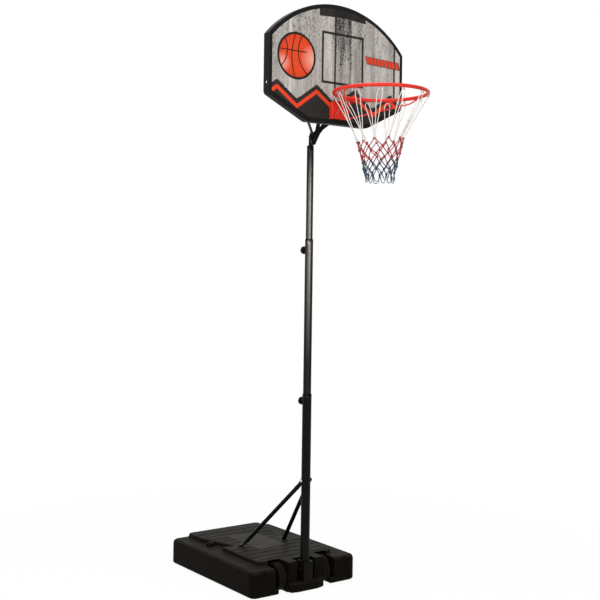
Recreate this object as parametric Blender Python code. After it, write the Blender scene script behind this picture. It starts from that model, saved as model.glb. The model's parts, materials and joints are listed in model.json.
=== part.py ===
"""Portable junior basketball stand.

Ballast tank on two wheels, three telescoping tubes with clamp knobs, two back braces, a fan of
four flat arms, a moulded backboard and a rim with a net.
The tank stands on z = 0, the pole is on the z axis and the rim is on the -Y side. Metres.
"""
import math

import bmesh
import bpy
from mathutils import Matrix, Vector

GAP = 0.0003

# Tank
TANK_HALF_X = 0.278
TANK_FRONT_Y = -0.010
TANK_BACK_Y = 0.680
TANK_CORNER_R = 0.030
TANK_WALL = 0.006
LEDGE_Z = 0.112
DECK_Z = 0.130
DECK_HALF_X = TANK_HALF_X - 0.082
DECK_BACK_Y = TANK_BACK_Y - 0.019
DECK_ROOF = 0.0045
NOTCH_Y = (0.344, 0.548)
NOTCH_APEX_X = DECK_HALF_X - 0.062
GROOVE_START_Y = 0.085
GROOVE_PITCH = 0.050
GROOVE_WIDTH = 0.008
GROOVE_DEPTH = 0.003
PAD_HALF_X = 0.075
PAD_Y = (0.238, 0.505)
FLUTE_R = 0.016
FLUTE_DEPTH = 0.008

# Wheels and axle
WHEEL_R = 0.059
WHEEL_WIDTH = 0.041
WHEEL_LIFT = 0.002
WHEEL_Y = 0.050
WHEEL_Z = WHEEL_R + WHEEL_LIFT
WHEEL_PLAY = 0.0005
WELL_X = (0.092, 0.158)
WELL_R = WHEEL_R + 0.008
SILL_X = WELL_X[0] + 0.0485
SILL_Z = 0.022
WHEEL_X = (WELL_X[0] + 0.0035, WELL_X[0] + 0.0035 + WHEEL_WIDTH)
HUB_R = 0.011
AXLE_R = 0.005
AXLE_HALF_X = WELL_X[1] + 0.004

# Filler plug, in the left notch
CAP_AT = (-(DECK_HALF_X - 0.001), NOTCH_Y[0] + 0.118)
CAP_HOLE_R = 0.013
CAP_DOME_R = 0.0175
CAP_PLUG = 0.016
CAP_DOME = 0.019

# Screws
BOLT_R = 0.004
HOLE_R = BOLT_R + GAP
HEX_R = 0.0075
HEX_HEIGHT = 0.0053
THREAD_END = 0.007
HEAD_SCREW_R = 0.0025

# Pole tubes
TUBE_WALL = 0.0012
TUBE_STEP = 0.0013
LOWER_R = 0.020
LOWER_TOP_Z = 0.839
MIDDLE_R = LOWER_R - TUBE_WALL - TUBE_STEP
MIDDLE_LENGTH = 0.820
MIDDLE_OVERLAP = 0.150
MIDDLE_Z = (LOWER_TOP_Z - MIDDLE_OVERLAP, LOWER_TOP_Z - MIDDLE_OVERLAP + MIDDLE_LENGTH)
UPPER_R = MIDDLE_R - TUBE_WALL - TUBE_STEP
UPPER_LENGTH = 0.6025
UPPER_OVERLAP = 0.200
UPPER_Z = (MIDDLE_Z[1] - UPPER_OVERLAP, MIDDLE_Z[1] - UPPER_OVERLAP + UPPER_LENGTH)
BUSH_SLEEVE = 0.014
BUSH_FLANGE = 0.005
BUSH_LIP = 0.0006

# Pole foot, with the lip and the blocks round it
SLEEVE_WALL = 0.004
SLEEVE_HALF_X = LOWER_R + SLEEVE_WALL
SLEEVE_Y = (-LOWER_R - 0.010, LOWER_R + 0.006)
SLEEVE_TOP_Z = 0.124
SLEEVE_FLOOR = 0.0115
SLEEVE_BOLT_Z = SLEEVE_TOP_Z - 0.036
SLOT_HALF_X = SLEEVE_HALF_X + 0.022
SLOT_BACK_Y = SLEEVE_Y[1] + 0.008
LIP_Z = 0.0385
LIP_FRONT_Y = SLEEVE_Y[0] - 0.003
LIP_HALF_X = WELL_X[0] - 0.002
RIBBED_BLOCK_X = (SLOT_HALF_X + 0.004, WELL_X[0] - 0.006)
RIBBED_BLOCK_Z = 0.119
RIBBED_BLOCK_Y = (TANK_FRONT_Y, TANK_FRONT_Y + 0.070)
FOOT_SCREW_Z = 0.014
FOOT_SCREW_BORE_R = HEX_R + 0.003

# Clamp knobs on the back of the tubes
KNOB_LOWER_Z = LOWER_TOP_Z - 0.028
KNOB_UPPER_Z = MIDDLE_Z[1] - 0.042
KNOB_R = 0.0175
KNOB_LENGTH = 0.0175
KNOB_SOCKET = 0.012
KNOB_LOBES = 8
STUD_R = 0.004
BOSS_R = 0.009
BOSS_HEIGHT = 0.0075

# Back braces
BRACE_R = 0.008
BRACE_WALL = 0.0012
BRACE_Z = 0.471
BRACE_FOOT = (NOTCH_APEX_X - 0.0137, NOTCH_Y[0] - 0.0178)
BRACE_TAB = 0.003
BRACE_TAB_HALF = 0.0105
FOOT_HOLE_DEPTH = 0.0155

# Pole head and arms: bolts as y, z and far ends as x, z
PLATE_HALF_X = 0.0025
PLUG_LENGTH = 0.032
HEAD_SCREW_DROP = 0.016
ARM_HALF_WIDTH = 0.013
ARM_THICK = 0.003
INNER_BOLT = (-0.020, UPPER_Z[1] + 0.0225)
OUTER_BOLT = (-0.0115, UPPER_Z[1] + 0.0445)
INNER_LEAN = 0.75
OUTER_LEAN = 0.62
INNER_BEND = 0.050
OUTER_BEND = 0.018

# Backboard
BOARD_FRONT_Y = -0.190
BOARD_DEPTH = 0.035
BOARD_WALL = 0.0038
BOARD_HALF_X = 0.357
BOARD_HEIGHT = 0.500
BOARD_BOTTOM_Z = UPPER_Z[1] + 0.0785
BOARD_TOP_Z = BOARD_BOTTOM_Z + BOARD_HEIGHT
BOARD_ARC_R = 0.470
BOARD_SIDE_LOW_Z = BOARD_BOTTOM_Z + 0.095
BOARD_BOTTOM_HALF_X = 0.160
BOARD_LOW_R = 0.030
BOARD_SIDE_R = 0.018
BOARD_SHOULDER_R = 0.010
BOARD_ARC_STEPS = 22
RIB_HALF = 0.0012
RIB_DEPTH = 0.022
RIB_Z = (BOARD_BOTTOM_Z + 0.160, BOARD_BOTTOM_Z + 0.310)
SIDE_HOLE_Z = BOARD_BOTTOM_Z + 0.122
SIDE_HOLE_R = 0.006
PRINT_BORDER = 0.018
PRINT_THICK = 0.0006
ARM_POST_Y = BOARD_FRONT_Y + 0.030
ARM_POST_R = 0.012
ARM_POST_HOLE = 0.023
INNER_END = (0.055, BOARD_BOTTOM_Z + 0.127)
OUTER_END = (0.217, BOARD_BOTTOM_Z + 0.200)

# Rim
RING_R = 0.186
RING_TUBE_R = 0.0078
RING_STEPS = 44
RING_Z = BOARD_BOTTOM_Z + 0.0986
BRACKET_HALF_X = 0.047
BRACKET_HEIGHT = 0.0786
BRACKET_Z = RING_Z - BRACKET_HEIGHT
BRACKET_FRONT_Y = BOARD_FRONT_Y - 0.019
BRACKET_SHEET = 0.0025
RING_REACH = 0.068
RING_Y = BRACKET_FRONT_Y - RING_REACH - RING_R
SHELF_FRONT_Y = RING_Y + RING_R - 0.013
ROD_R = 0.003
ROD_START = (BRACKET_HALF_X - 0.006, BRACKET_Z + 0.0065)
# Bends of a stay: outwards, forwards and up from its start
STAY_START = ((0.0, GAP, 0.0), (0.0, 0.004, 0.0), (0.0035, 0.014, 0.0013))
# Inside the ring's radius, behind its centre and below its middle line
STAY_BENDS = ((0.044, 0.045, 0.0335), (0.018, 0.022, 0.0252), (0.0065, 0.011, 0.0171))
# The same, with the last from where the stay touches the ring
STAY_END = ((0.0020, 0.0, 0.0002), (0.0004, -0.010, 0.0))
RIM_BOLT_X = BRACKET_HALF_X - 0.014
RIM_BOLT_Z = (BRACKET_Z + 0.017, BRACKET_Z + 0.052)

# Net: radius and drop below the ring of each row of crossings
NET_LOOPS = 12
NET_LOOP_ROWS = 8
NET_CORD_R = 0.0016
NET_LOOP_R = RING_TUBE_R + 2 * GAP + NET_CORD_R
NET_CROSSING = (0.0024, 0.0016, 0.0014)
NET_ROWS = (
    (RING_R, NET_LOOP_R), (0.089, 0.189), (0.083, 0.220), (0.076, 0.253),
    (0.071, 0.280), (0.067, 0.306), (0.062, 0.361),
)

MATERIALS = {
    "tank_plastic": ((0.018, 0.017, 0.016, 1.0), 0.42, 0.0),
    "plug_plastic": ((0.020, 0.019, 0.018, 1.0), 0.38, 0.0),
    "wheel_plastic": ((0.022, 0.021, 0.020, 1.0), 0.45, 0.0),
    "bush_plastic": ((0.012, 0.012, 0.012, 1.0), 0.40, 0.0),
    "knob_plastic": ((0.010, 0.010, 0.010, 1.0), 0.35, 0.0),
    "pole_paint": ((0.012, 0.011, 0.011, 1.0), 0.28, 0.3),
    "frame_paint": ((0.014, 0.013, 0.012, 1.0), 0.35, 0.3),
    "rim_paint": ((0.72, 0.075, 0.030, 1.0), 0.35, 0.1),
    "board_plastic": ((0.014, 0.014, 0.015, 1.0), 0.40, 0.0),
    "print_film": ((0.36, 0.35, 0.33, 1.0), 0.45, 0.0),
    "zinc_steel": ((0.55, 0.55, 0.54, 1.0), 0.30, 0.9),
    "net_cord": ((0.80, 0.78, 0.76, 1.0), 0.85, 0.0),
}


def clear_scene():
    """Remove the objects that the scene starts with."""
    for obj in list(bpy.data.objects):
        bpy.data.objects.remove(obj, do_unlink=True)


def material(slot):
    """One Principled material for each slot."""
    if slot in bpy.data.materials:
        return bpy.data.materials[slot]
    colour, roughness, metallic = MATERIALS[slot]
    made = bpy.data.materials.new(slot)
    made.use_nodes = True
    shader = made.node_tree.nodes["Principled BSDF"]
    shader.inputs["Base Color"].default_value = colour
    shader.inputs["Roughness"].default_value = roughness
    shader.inputs["Metallic"].default_value = metallic
    made.diffuse_color = colour
    return made


def solid(name, verts, faces, slot=None, smooth=False):
    """A closed mesh object with outward faces."""
    mesh = bpy.data.meshes.new(name)
    mesh.from_pydata([tuple(v) for v in verts], [], faces)
    shape = bmesh.new()
    shape.from_mesh(mesh)
    bmesh.ops.recalc_face_normals(shape, faces=shape.faces)
    shape.to_mesh(mesh)
    shape.free()
    obj = bpy.data.objects.new(name, mesh)
    bpy.context.scene.collection.objects.link(obj)
    if slot:
        mesh.materials.append(material(slot))
    if smooth:
        shade(obj)
    return obj


def shade(obj, angle=35.0):
    """Smooth shading with sharp edges above the angle."""
    mesh = obj.data
    shape = bmesh.new()
    shape.from_mesh(mesh)
    limit = math.radians(angle)
    for face in shape.faces:
        face.smooth = True
    for edge in shape.edges:
        edge.smooth = edge.calc_face_angle(0.0) < limit
    shape.to_mesh(mesh)
    shape.free()


def is_closed(mesh):
    """True where every edge of the mesh has two faces."""
    shape = bmesh.new()
    shape.from_mesh(mesh)
    closed = all(len(edge.link_faces) == 2 for edge in shape.edges)
    shape.free()
    return closed


def combine(obj, other, operation):
    """Boolean of two objects; the second one is used up. MANIFOLD only where EXACT leaves an open edge."""
    step = obj.modifiers.new(operation.lower(), "BOOLEAN")
    step.object = other
    step.operation = operation
    for solver in ("EXACT", "MANIFOLD"):
        step.solver = solver
        graph = bpy.context.evaluated_depsgraph_get()
        result = bpy.data.meshes.new_from_object(obj.evaluated_get(graph))
        if is_closed(result):
            break
    obj.modifiers.clear()
    old = obj.data
    obj.data = result
    result.name = obj.name
    bpy.data.meshes.remove(old)
    bpy.data.objects.remove(other, do_unlink=True)
    return obj


def cut(obj, *cutters):
    """Take each cutter out of the object."""
    for cutter in cutters:
        combine(obj, cutter, "DIFFERENCE")
    return obj


def join(obj, *others):
    """Add each other object to the object."""
    for other in others:
        combine(obj, other, "UNION")
    return obj


def loft(name, sections, slot=None, smooth=False, split=False):
    """Closed skin over a row of equal point loops, with flat ends."""
    count = len(sections[0])
    verts = [point for section in sections for point in section]
    faces = []
    for row in range(len(sections) - 1):
        low, high = row * count, (row + 1) * count
        for k in range(count):
            n = (k + 1) % count
            if split:
                faces.append((low + k, low + n, high + n))
                faces.append((low + k, high + n, high + k))
            else:
                faces.append((low + k, low + n, high + n, high + k))
    faces.append(tuple(reversed(range(count))))
    faces.append(tuple(range(len(verts) - count, len(verts))))
    return solid(name, verts, faces, slot, smooth)


def looped(name, sections, slot=None, smooth=False):
    """Closed skin over point loops that return to the first one."""
    count = len(sections[0])
    rows = len(sections)
    verts = [point for section in sections for point in section]
    faces = []
    for row in range(rows):
        low, high = row * count, ((row + 1) % rows) * count
        for k in range(count):
            n = (k + 1) % count
            faces.append((low + k, low + n, high + n, high + k))
    return solid(name, verts, faces, slot, smooth)


def axes_for(direction):
    """Two unit vectors square to the direction."""
    along = Vector(direction).normalized()
    helper = Vector((0, 0, 1)) if abs(along.z) < 0.9 else Vector((1, 0, 0))
    side = along.cross(helper).normalized()
    return side, along.cross(side).normalized()


def circle(centre, direction, radius, count, turn=0.0):
    """Points of a circle square to the direction."""
    side, up = axes_for(direction)
    centre = Vector(centre)
    points = []
    for k in range(count):
        angle = turn + 2 * math.pi * k / count
        points.append(centre + side * (radius * math.cos(angle)) + up * (radius * math.sin(angle)))
    return points


def turned(name, profile, origin, direction, count, slot=None, smooth=True, ring=False):
    """Solid of revolution. The profile holds (radius, distance along the direction)."""
    along = Vector(direction).normalized()
    sections = [circle(Vector(origin) + along * t, along, r, count) for r, t in profile]
    if ring:
        obj = looped(name, sections, slot)
    else:
        obj = loft(name, sections, slot)
    if smooth:
        shade(obj)
    return obj


def tube(name, outer, inner, low, high, slot=None, count=24):
    """Round tube on the z axis."""
    profile = ((outer, low), (outer, high), (inner, high), (inner, low))
    return turned(name, profile, (0, 0, 0), (0, 0, 1), count, slot, ring=True)


def rod(name, start, end, radius, count=16, slot=None):
    """Round bar between two points."""
    start, end = Vector(start), Vector(end)
    return turned(name, ((radius, 0.0), (radius, (end - start).length)), start, end - start, count, slot)


def box(name, low, high, slot=None):
    """Box between two corners."""
    flat = ((low[0], low[1]), (high[0], low[1]), (high[0], high[1]), (low[0], high[1]))
    return loft(name, [[(x, y, z) for x, y in flat] for z in (low[2], high[2])], slot)


def upright(name, levels, slot=None):
    """Solid over flat outlines, each with its height."""
    return loft(name, [[(x, y, z) for x, y in outline] for z, outline in levels], slot)


def offset(outline, distance):
    """Move each side of an anticlockwise outline inwards."""
    moved = []
    count = len(outline)
    for k in range(count):
        before = Vector(outline[k - 1])
        here = Vector(outline[k])
        after = Vector(outline[(k + 1) % count])
        first = (here - before).normalized()
        second = (after - here).normalized()
        normal_a = Vector((-first.y, first.x))
        normal_b = Vector((-second.y, second.x))
        bisector = (normal_a + normal_b).normalized()
        reach = distance / max(bisector.dot(normal_a), 0.35)
        moved.append(tuple(here + bisector * reach))
    return moved


def fillet(corners, steps=5):
    """Outline with round corners. Each corner holds x, y and its radius."""
    outline = []
    count = len(corners)
    for k in range(count):
        here = Vector(corners[k][:2])
        radius = corners[k][2]
        to_before = (Vector(corners[k - 1][:2]) - here).normalized()
        to_after = (Vector(corners[(k + 1) % count][:2]) - here).normalized()
        if radius <= 0:
            outline.append(tuple(here))
            continue
        half = math.acos(max(-1.0, min(1.0, to_before.dot(to_after)))) / 2
        reach = radius / math.tan(half)
        middle = here + (to_before + to_after).normalized() * (radius / math.sin(half))
        first = here + to_before * reach - middle
        sweep = math.pi - 2 * half
        turn = 1.0 if to_before.cross(to_after) < 0 else -1.0
        for step in range(steps + 1):
            angle = turn * sweep * step / steps
            outline.append((
                middle.x + first.x * math.cos(angle) - first.y * math.sin(angle),
                middle.y + first.x * math.sin(angle) + first.y * math.cos(angle),
            ))
    return outline


def shaped(corners, inset=0.0, steps=5):
    """Round-cornered outline moved inwards; the round corners keep their centres."""
    sharp = [corner[:2] for corner in corners]
    moved = offset(sharp, inset) if inset else sharp
    made = []
    count = len(sharp)
    for k in range(count):
        before, here, after = (Vector(sharp[(k + step) % count]) for step in (-1, 0, 1))
        radius = corners[k][2]
        if radius:
            hollow = (here - before).cross(after - here) < 0
            radius = max(radius + (inset if hollow else -inset), 0.002)
        made.append((moved[k][0], moved[k][1], radius))
    return fillet(made, steps)


def mirrored(half):
    """Whole corner list from its +X half, which runs anticlockwise from the front to the back."""
    return list(half) + [(-x, y, r) for x, y, r in reversed(half)]


def hex_bolt(name, seat, direction, length, radius=BOLT_R, slot="zinc_steel"):
    """Hexagon bolt. The seat is under the head and the direction points along the shank."""
    along = Vector(direction).normalized()
    side, up = axes_for(along)
    seat = Vector(seat)

    def hexagon(size, t):
        points = []
        for k in range(12):
            angle = math.pi * k / 6
            reach = size if k % 2 == 0 else size * math.cos(math.pi / 6)
            points.append(seat + along * t + (side * math.cos(angle) + up * math.sin(angle)) * reach)
        return points

    sections = [
        hexagon(HEX_R * 0.90, -HEX_HEIGHT),
        hexagon(HEX_R, -HEX_HEIGHT * 0.85),
        hexagon(HEX_R, 0.0),
        circle(seat, along, radius, 12),
        circle(seat + along * length, along, radius, 12),
    ]
    return loft(name, sections, slot)


def hex_nut(name, seat, direction, slot="zinc_steel"):
    """Hexagon nut that stands on the seat and faces the direction."""
    along = Vector(direction).normalized()
    side, up = axes_for(along)
    seat = Vector(seat)

    def ringed(size, t, flats):
        points = []
        for k in range(12):
            angle = math.pi * k / 6
            reach = size
            if flats and k % 2:
                reach = size * math.cos(math.pi / 6)
            points.append(seat + along * t + (side * math.cos(angle) + up * math.sin(angle)) * reach)
        return points

    sections = [
        ringed(HEX_R, 0.0, True),
        ringed(HEX_R, HEX_HEIGHT * 0.9, True),
        ringed(HEX_R * 0.88, HEX_HEIGHT, True),
        ringed(HOLE_R, HEX_HEIGHT, False),
        ringed(HOLE_R, 0.0, False),
    ]
    return looped(name, sections, slot)


def tank_outline(inset=0.0):
    """Plan of the tank's lower body."""
    r = TANK_CORNER_R
    half = [(TANK_HALF_X, TANK_FRONT_Y, r), (TANK_HALF_X, TANK_BACK_Y, r)]
    return shaped(mirrored(half), inset, 4)


def deck_outline(inset=0.0):
    """Plan of the raised deck with its two side notches."""
    a = DECK_HALF_X
    half = [
        (WELL_X[0] - 0.004, TANK_FRONT_Y, 0.0),
        (WELL_X[1] - 0.008, WHEEL_Y + 0.002, 0.0),
        (a, WHEEL_Y + 0.022, 0.012),
        (a, NOTCH_Y[0] + 0.014, 0.008),
        (NOTCH_APEX_X, NOTCH_Y[0], 0.010),
        (a, NOTCH_Y[1], 0.014),
        (a, DECK_BACK_Y, 0.016),
    ]
    return shaped(mirrored(half), inset, 2)


def groove_reach(y):
    """Half length of the groove at y; it stays clear of the braces' feet and the notches."""
    if NOTCH_Y[0] - 0.030 < y < NOTCH_Y[0] + 0.016:
        return BRACE_FOOT[0] - BRACE_TAB_HALF - 0.008
    if NOTCH_Y[0] < y < NOTCH_Y[1]:
        share = (y - NOTCH_Y[0]) / (NOTCH_Y[1] - NOTCH_Y[0])
        return NOTCH_APEX_X + share * (DECK_HALF_X - NOTCH_APEX_X) - 0.014
    return DECK_HALF_X - 0.010


def deck_grooves():
    """Straight grooves across the deck, left out on the smooth pad."""
    spans = []
    y = GROOVE_START_Y
    while y < DECK_BACK_Y - 0.03:
        reach = groove_reach(y)
        if PAD_Y[0] < y < PAD_Y[1]:
            spans.append((y, -reach, -PAD_HALF_X - 0.004))
            spans.append((y, PAD_HALF_X + 0.004, reach))
        else:
            spans.append((y, -reach, reach))
        y += GROOVE_PITCH
    verts = []
    faces = []
    for y, x0, x1 in spans:
        base = len(verts)
        top = DECK_Z + 0.002
        low = DECK_Z - GROOVE_DEPTH
        w = GROOVE_WIDTH / 2
        ring = ((y - w, top), (y - w * 0.45, low), (y + w * 0.45, low), (y + w, top))
        for x in (x0, x1):
            verts += [(x, yy, zz) for yy, zz in ring]
        for k in range(4):
            n = (k + 1) % 4
            faces.append((base + k, base + n, base + 4 + n, base + 4 + k))
        faces.append((base + 3, base + 2, base + 1, base))
        faces.append((base + 4, base + 5, base + 6, base + 7))
    return solid("grooves", verts, faces)


def ribbed_block(side):
    """Upright block beside the pole, with two flutes on its front."""
    x0, x1 = RIBBED_BLOCK_X
    mid = (x0 + x1) / 2
    front, back = RIBBED_BLOCK_Y
    dip = front + 0.0035
    plan = [
        (x0, back), (x0, dip), (x0 + 0.003, front),
        (mid - 0.0075, front), (mid - 0.006, dip), (mid - 0.003, dip),
        (mid - 0.0015, front), (mid + 0.0015, front),
        (mid + 0.003, dip), (mid + 0.006, dip), (mid + 0.0075, front),
        (x1 - 0.003, front), (x1, dip), (x1, back),
    ]
    plan = [(side * x, y) for x, y in plan]
    if side < 0:
        plan = plan[::-1]
    top = RIBBED_BLOCK_Z
    return upright("ribbed_block", [(LIP_Z / 2, plan), (top - 0.003, plan), (top, offset(plan, 0.002))])


def front_lip():
    """Low shelf in front, under the pole foot."""
    x = LIP_HALF_X
    nose = x * 0.55
    front = LIP_FRONT_Y
    back = RIBBED_BLOCK_Y[1]
    corners = [
        (-nose, front, 0.012), (nose, front, 0.012), (x, front + 0.010, 0.008),
        (x, back, 0.0), (-x, back, 0.0), (-x, front + 0.010, 0.008),
    ]
    levels = [
        (0.0, shaped(corners, 0.004, 3)),
        (0.005, shaped(corners, 0.0, 3)),
        (LIP_Z - 0.004, shaped(corners, 0.0, 3)),
        (LIP_Z, shaped(corners, 0.004, 3)),
    ]
    return upright("lip", levels)


def wheel_well(side):
    """Space for a wheel, open at the front, top and bottom."""
    x0, x1 = WELL_X
    well = rod("well", (side * x0, WHEEL_Y, WHEEL_Z), (side * x1, WHEEL_Y, WHEEL_Z), WELL_R, 40)
    low, high = sorted((side * x0, side * x1))
    mouth = box("mouth", (low, LIP_FRONT_Y - 0.05, -0.02), (high, WHEEL_Y + 0.012, DECK_Z + 0.07))
    floor = box("floor", (low, TANK_FRONT_Y, -0.02), (high, WHEEL_Y + WELL_R - 0.012, 0.030))
    join(mouth, well, floor)
    low, high = sorted((side * SILL_X, side * (x1 + 0.01)))
    cut(mouth, box("sill", (low, LIP_FRONT_Y - 0.06, -0.03), (high, WHEEL_Y + WELL_R + 0.01, SILL_Z)))
    return mouth


def tank_hollow():
    """Inside of the tank: the main space, the space under the deck and two front corners."""
    w = TANK_WALL
    x = TANK_HALF_X - w
    front = WHEEL_Y + WELL_R + 3 * w
    back = TANK_BACK_Y - w
    corner = TANK_CORNER_R - 0.004
    main = fillet([(-x, front, 0.012), (x, front, 0.012), (x, back, corner), (-x, back, corner)], 3)
    hollow = upright("hollow", [(w, main), (LEDGE_Z - 0.016, main), (LEDGE_Z - w, offset(main, 0.010))])
    reach = BRACE_FOOT[0] - 0.026
    roof = DECK_Z - GROOVE_DEPTH - DECK_ROOF
    parts = [box("under_deck", (-reach, front + 0.005, LEDGE_Z - 0.022), (reach, DECK_BACK_Y - 2 * w, roof))]
    for side in (-1, 1):
        low, high = sorted((side * (WELL_X[1] + 0.0075), side * (TANK_HALF_X - 0.014)))
        top = LEDGE_Z - 0.014
        parts.append(box("corner", (low, TANK_FRONT_Y + 2 * w, w + 0.004), (high, front + 0.015, top)))
    return join(hollow, *parts)


def make_tank():
    """Ballast tank with its deck, wheel wells and pole slot."""
    levels = [
        (0.0, tank_outline(0.007)),
        (0.005, tank_outline(0.001)),
        (0.010, tank_outline()),
        (LEDGE_Z - 0.018, tank_outline()),
        (LEDGE_Z - 0.010, tank_outline(0.002)),
        (LEDGE_Z - 0.004, tank_outline(0.007)),
        (LEDGE_Z, tank_outline(0.015)),
    ]
    tank = upright("base_tank", levels)
    shelf = [
        (LEDGE_Z - 0.020, deck_outline(-0.006)),
        (LEDGE_Z, deck_outline(-0.0055)),
        (DECK_Z - 0.005, deck_outline(-0.002)),
        (DECK_Z - 0.0015, deck_outline()),
        (DECK_Z, deck_outline(0.003)),
    ]
    join(tank, upright("deck", shelf), front_lip(), ribbed_block(1), ribbed_block(-1))
    cut(tank, wheel_well(1), wheel_well(-1))
    slot = box("slot", (-SLOT_HALF_X, LIP_FRONT_Y - 0.05, LIP_Z), (SLOT_HALF_X, SLOT_BACK_Y, DECK_Z + 0.07))
    cut(tank, slot, deck_grooves(), tank_hollow())
    for side in (-1, 1):
        x = side * (WELL_X[1] + TANK_HALF_X) / 2
        y = TANK_FRONT_Y - FLUTE_R + FLUTE_DEPTH
        cut(tank, rod("flute", (x, y - 0.002, 0.014), (x, y + 0.002, DECK_Z + 0.02), FLUTE_R, 20))
    x = AXLE_HALF_X + GAP
    cut(tank, rod("bore", (-x, WHEEL_Y, WHEEL_Z), (x, WHEEL_Y, WHEEL_Z), AXLE_R + GAP, 20))
    x, y = CAP_AT
    cut(tank, rod("filler", (x, y, LEDGE_Z - 0.03), (x, y, LEDGE_Z + 0.04), CAP_HOLE_R, 24))
    for side in (-1, 1):
        x, y = side * BRACE_FOOT[0], BRACE_FOOT[1]
        cut(tank, rod("foot_hole", (x, y, DECK_Z - FOOT_HOLE_DEPTH), (x, y, DECK_Z + 0.02), HOLE_R, 16))
    cut(tank, rod("screw_hole", (0, 0, FOOT_SCREW_Z - 0.01), (0, 0, LIP_Z + 0.02), HOLE_R, 16))
    cut(tank, rod("screw_head", (0, 0, -0.02), (0, 0, FOOT_SCREW_Z), FOOT_SCREW_BORE_R, 24))
    tank.data.materials.clear()
    tank.data.materials.append(material("tank_plastic"))
    shade(tank, 28)
    return tank


def make_cap():
    """Domed push-in plug in the left notch."""
    plug, r, top = CAP_HOLE_R - GAP, CAP_DOME_R, CAP_DOME
    profile = [
        (plug, -CAP_PLUG), (plug, GAP), (r, GAP), (r, top * 0.37),
        (r * 0.93, top * 0.63), (r * 0.72, top * 0.87), (r * 0.38, top),
    ]
    return turned("filler_plug", profile, (CAP_AT[0], CAP_AT[1], LEDGE_Z), (0, 0, 1), 24, "plug_plastic")


def make_axle():
    """Steel axle through both wheels and the tank."""
    c = 0.001
    profile = ((AXLE_R - c, 0), (AXLE_R, c), (AXLE_R, 2 * AXLE_HALF_X - c), (AXLE_R - c, 2 * AXLE_HALF_X))
    turned("axle", profile, (-AXLE_HALF_X, WHEEL_Y, WHEEL_Z), (1, 0, 0), 20, "zinc_steel")


def make_wheel(name, side):
    """Wheel with a rounded tread, dished sides and a hub that reaches both walls of the well."""
    bore = AXLE_R + WHEEL_PLAY
    inner, outer = WHEEL_X
    hub_in, hub_out = WELL_X[0] + WHEEL_PLAY, WELL_X[1] - WHEEL_PLAY
    r = WHEEL_R
    dish = r - 0.015
    profile = [
        (bore, hub_in), (HUB_R, hub_in), (HUB_R, inner + 0.006), (dish, inner + 0.006),
        (dish + 0.003, inner), (r - 0.006, inner), (r - 0.002, inner + 0.002), (r, inner + 0.007),
        (r, outer - 0.007), (r - 0.002, outer - 0.002), (r - 0.006, outer), (dish + 0.003, outer),
        (dish, outer - 0.010), (HUB_R + 0.002, outer - 0.010), (HUB_R, hub_out), (bore, hub_out),
    ]
    turned(name, profile, (0, WHEEL_Y, WHEEL_Z), (side, 0, 0), 24, "wheel_plastic", ring=True)


def make_sleeve():
    """Square sleeve on the lip that takes the pole's foot, with its screws."""
    x = SLEEVE_HALF_X
    y0, y1 = SLEEVE_Y
    plan = fillet([(-x, y0, 0.004), (x, y0, 0.004), (x, y1, 0.004), (-x, y1, 0.004)], 3)
    low = LIP_Z + GAP
    top = SLEEVE_TOP_Z
    sleeve = upright("foot_sleeve", [(low, plan), (top - 0.001, plan), (top, offset(plan, 0.001))])
    floor = low + SLEEVE_FLOOR
    z = SLEEVE_BOLT_Z
    cut(sleeve, rod("bore", (0, 0, floor), (0, 0, top + 0.02), LOWER_R + GAP, 32))
    cut(sleeve, rod("cross", (-2 * x, 0, z), (2 * x, 0, z), HOLE_R, 16))
    cut(sleeve, rod("under", (0, 0, 0), (0, 0, floor - 0.002), HOLE_R, 16))
    sleeve.data.materials.clear()
    sleeve.data.materials.append(material("frame_paint"))
    shade(sleeve, 40)
    hex_bolt("sleeve_bolt", (-x - GAP, 0, z), (1, 0, 0), 2 * (x + GAP) + THREAD_END, slot="frame_paint")
    hex_nut("sleeve_nut", (x + GAP, 0, z), (1, 0, 0), slot="frame_paint")
    seat = FOOT_SCREW_Z - GAP
    hex_bolt("sleeve_screw", (0, 0, seat), (0, 0, 1), floor - seat - 0.003)


def make_pole():
    """Three telescoping tubes and the nylon bushes at the two open ends."""
    foot = LIP_Z + GAP + SLEEVE_FLOOR + GAP
    x = 2 * LOWER_R
    lower = tube("pole_lower", LOWER_R, LOWER_R - TUBE_WALL, foot, LOWER_TOP_Z)
    for z in (SLEEVE_BOLT_Z, BRACE_Z):
        cut(lower, rod("hole", (-x, 0, z), (x, 0, z), HOLE_R, 16))
    cut(lower, rod("hole", (0, 0, KNOB_LOWER_Z), (0, x, KNOB_LOWER_Z), STUD_R + 2 * GAP, 16))
    middle = tube("pole_middle", MIDDLE_R, MIDDLE_R - TUBE_WALL, *MIDDLE_Z)
    cut(middle, rod("hole", (0, 0, KNOB_UPPER_Z), (0, x, KNOB_UPPER_Z), STUD_R + 2 * GAP, 16))
    cut(middle, rod("hole", (0, -x, KNOB_UPPER_Z), (0, 0, KNOB_UPPER_Z), STUD_R, 16))
    upper = tube("pole_upper", UPPER_R, UPPER_R - TUBE_WALL, *UPPER_Z)
    z = UPPER_Z[1] - HEAD_SCREW_DROP
    cut(upper, rod("hole", (0, 0, z), (0, x, z), HEAD_SCREW_R + GAP, 12))
    for piece in (lower, middle, upper):
        piece.data.materials.clear()
        piece.data.materials.append(material("pole_paint"))
        shade(piece, 40)
    make_bush("bush_lower", LOWER_R, MIDDLE_R, LOWER_TOP_Z)
    make_bush("bush_upper", MIDDLE_R, UPPER_R, MIDDLE_Z[1])


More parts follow.
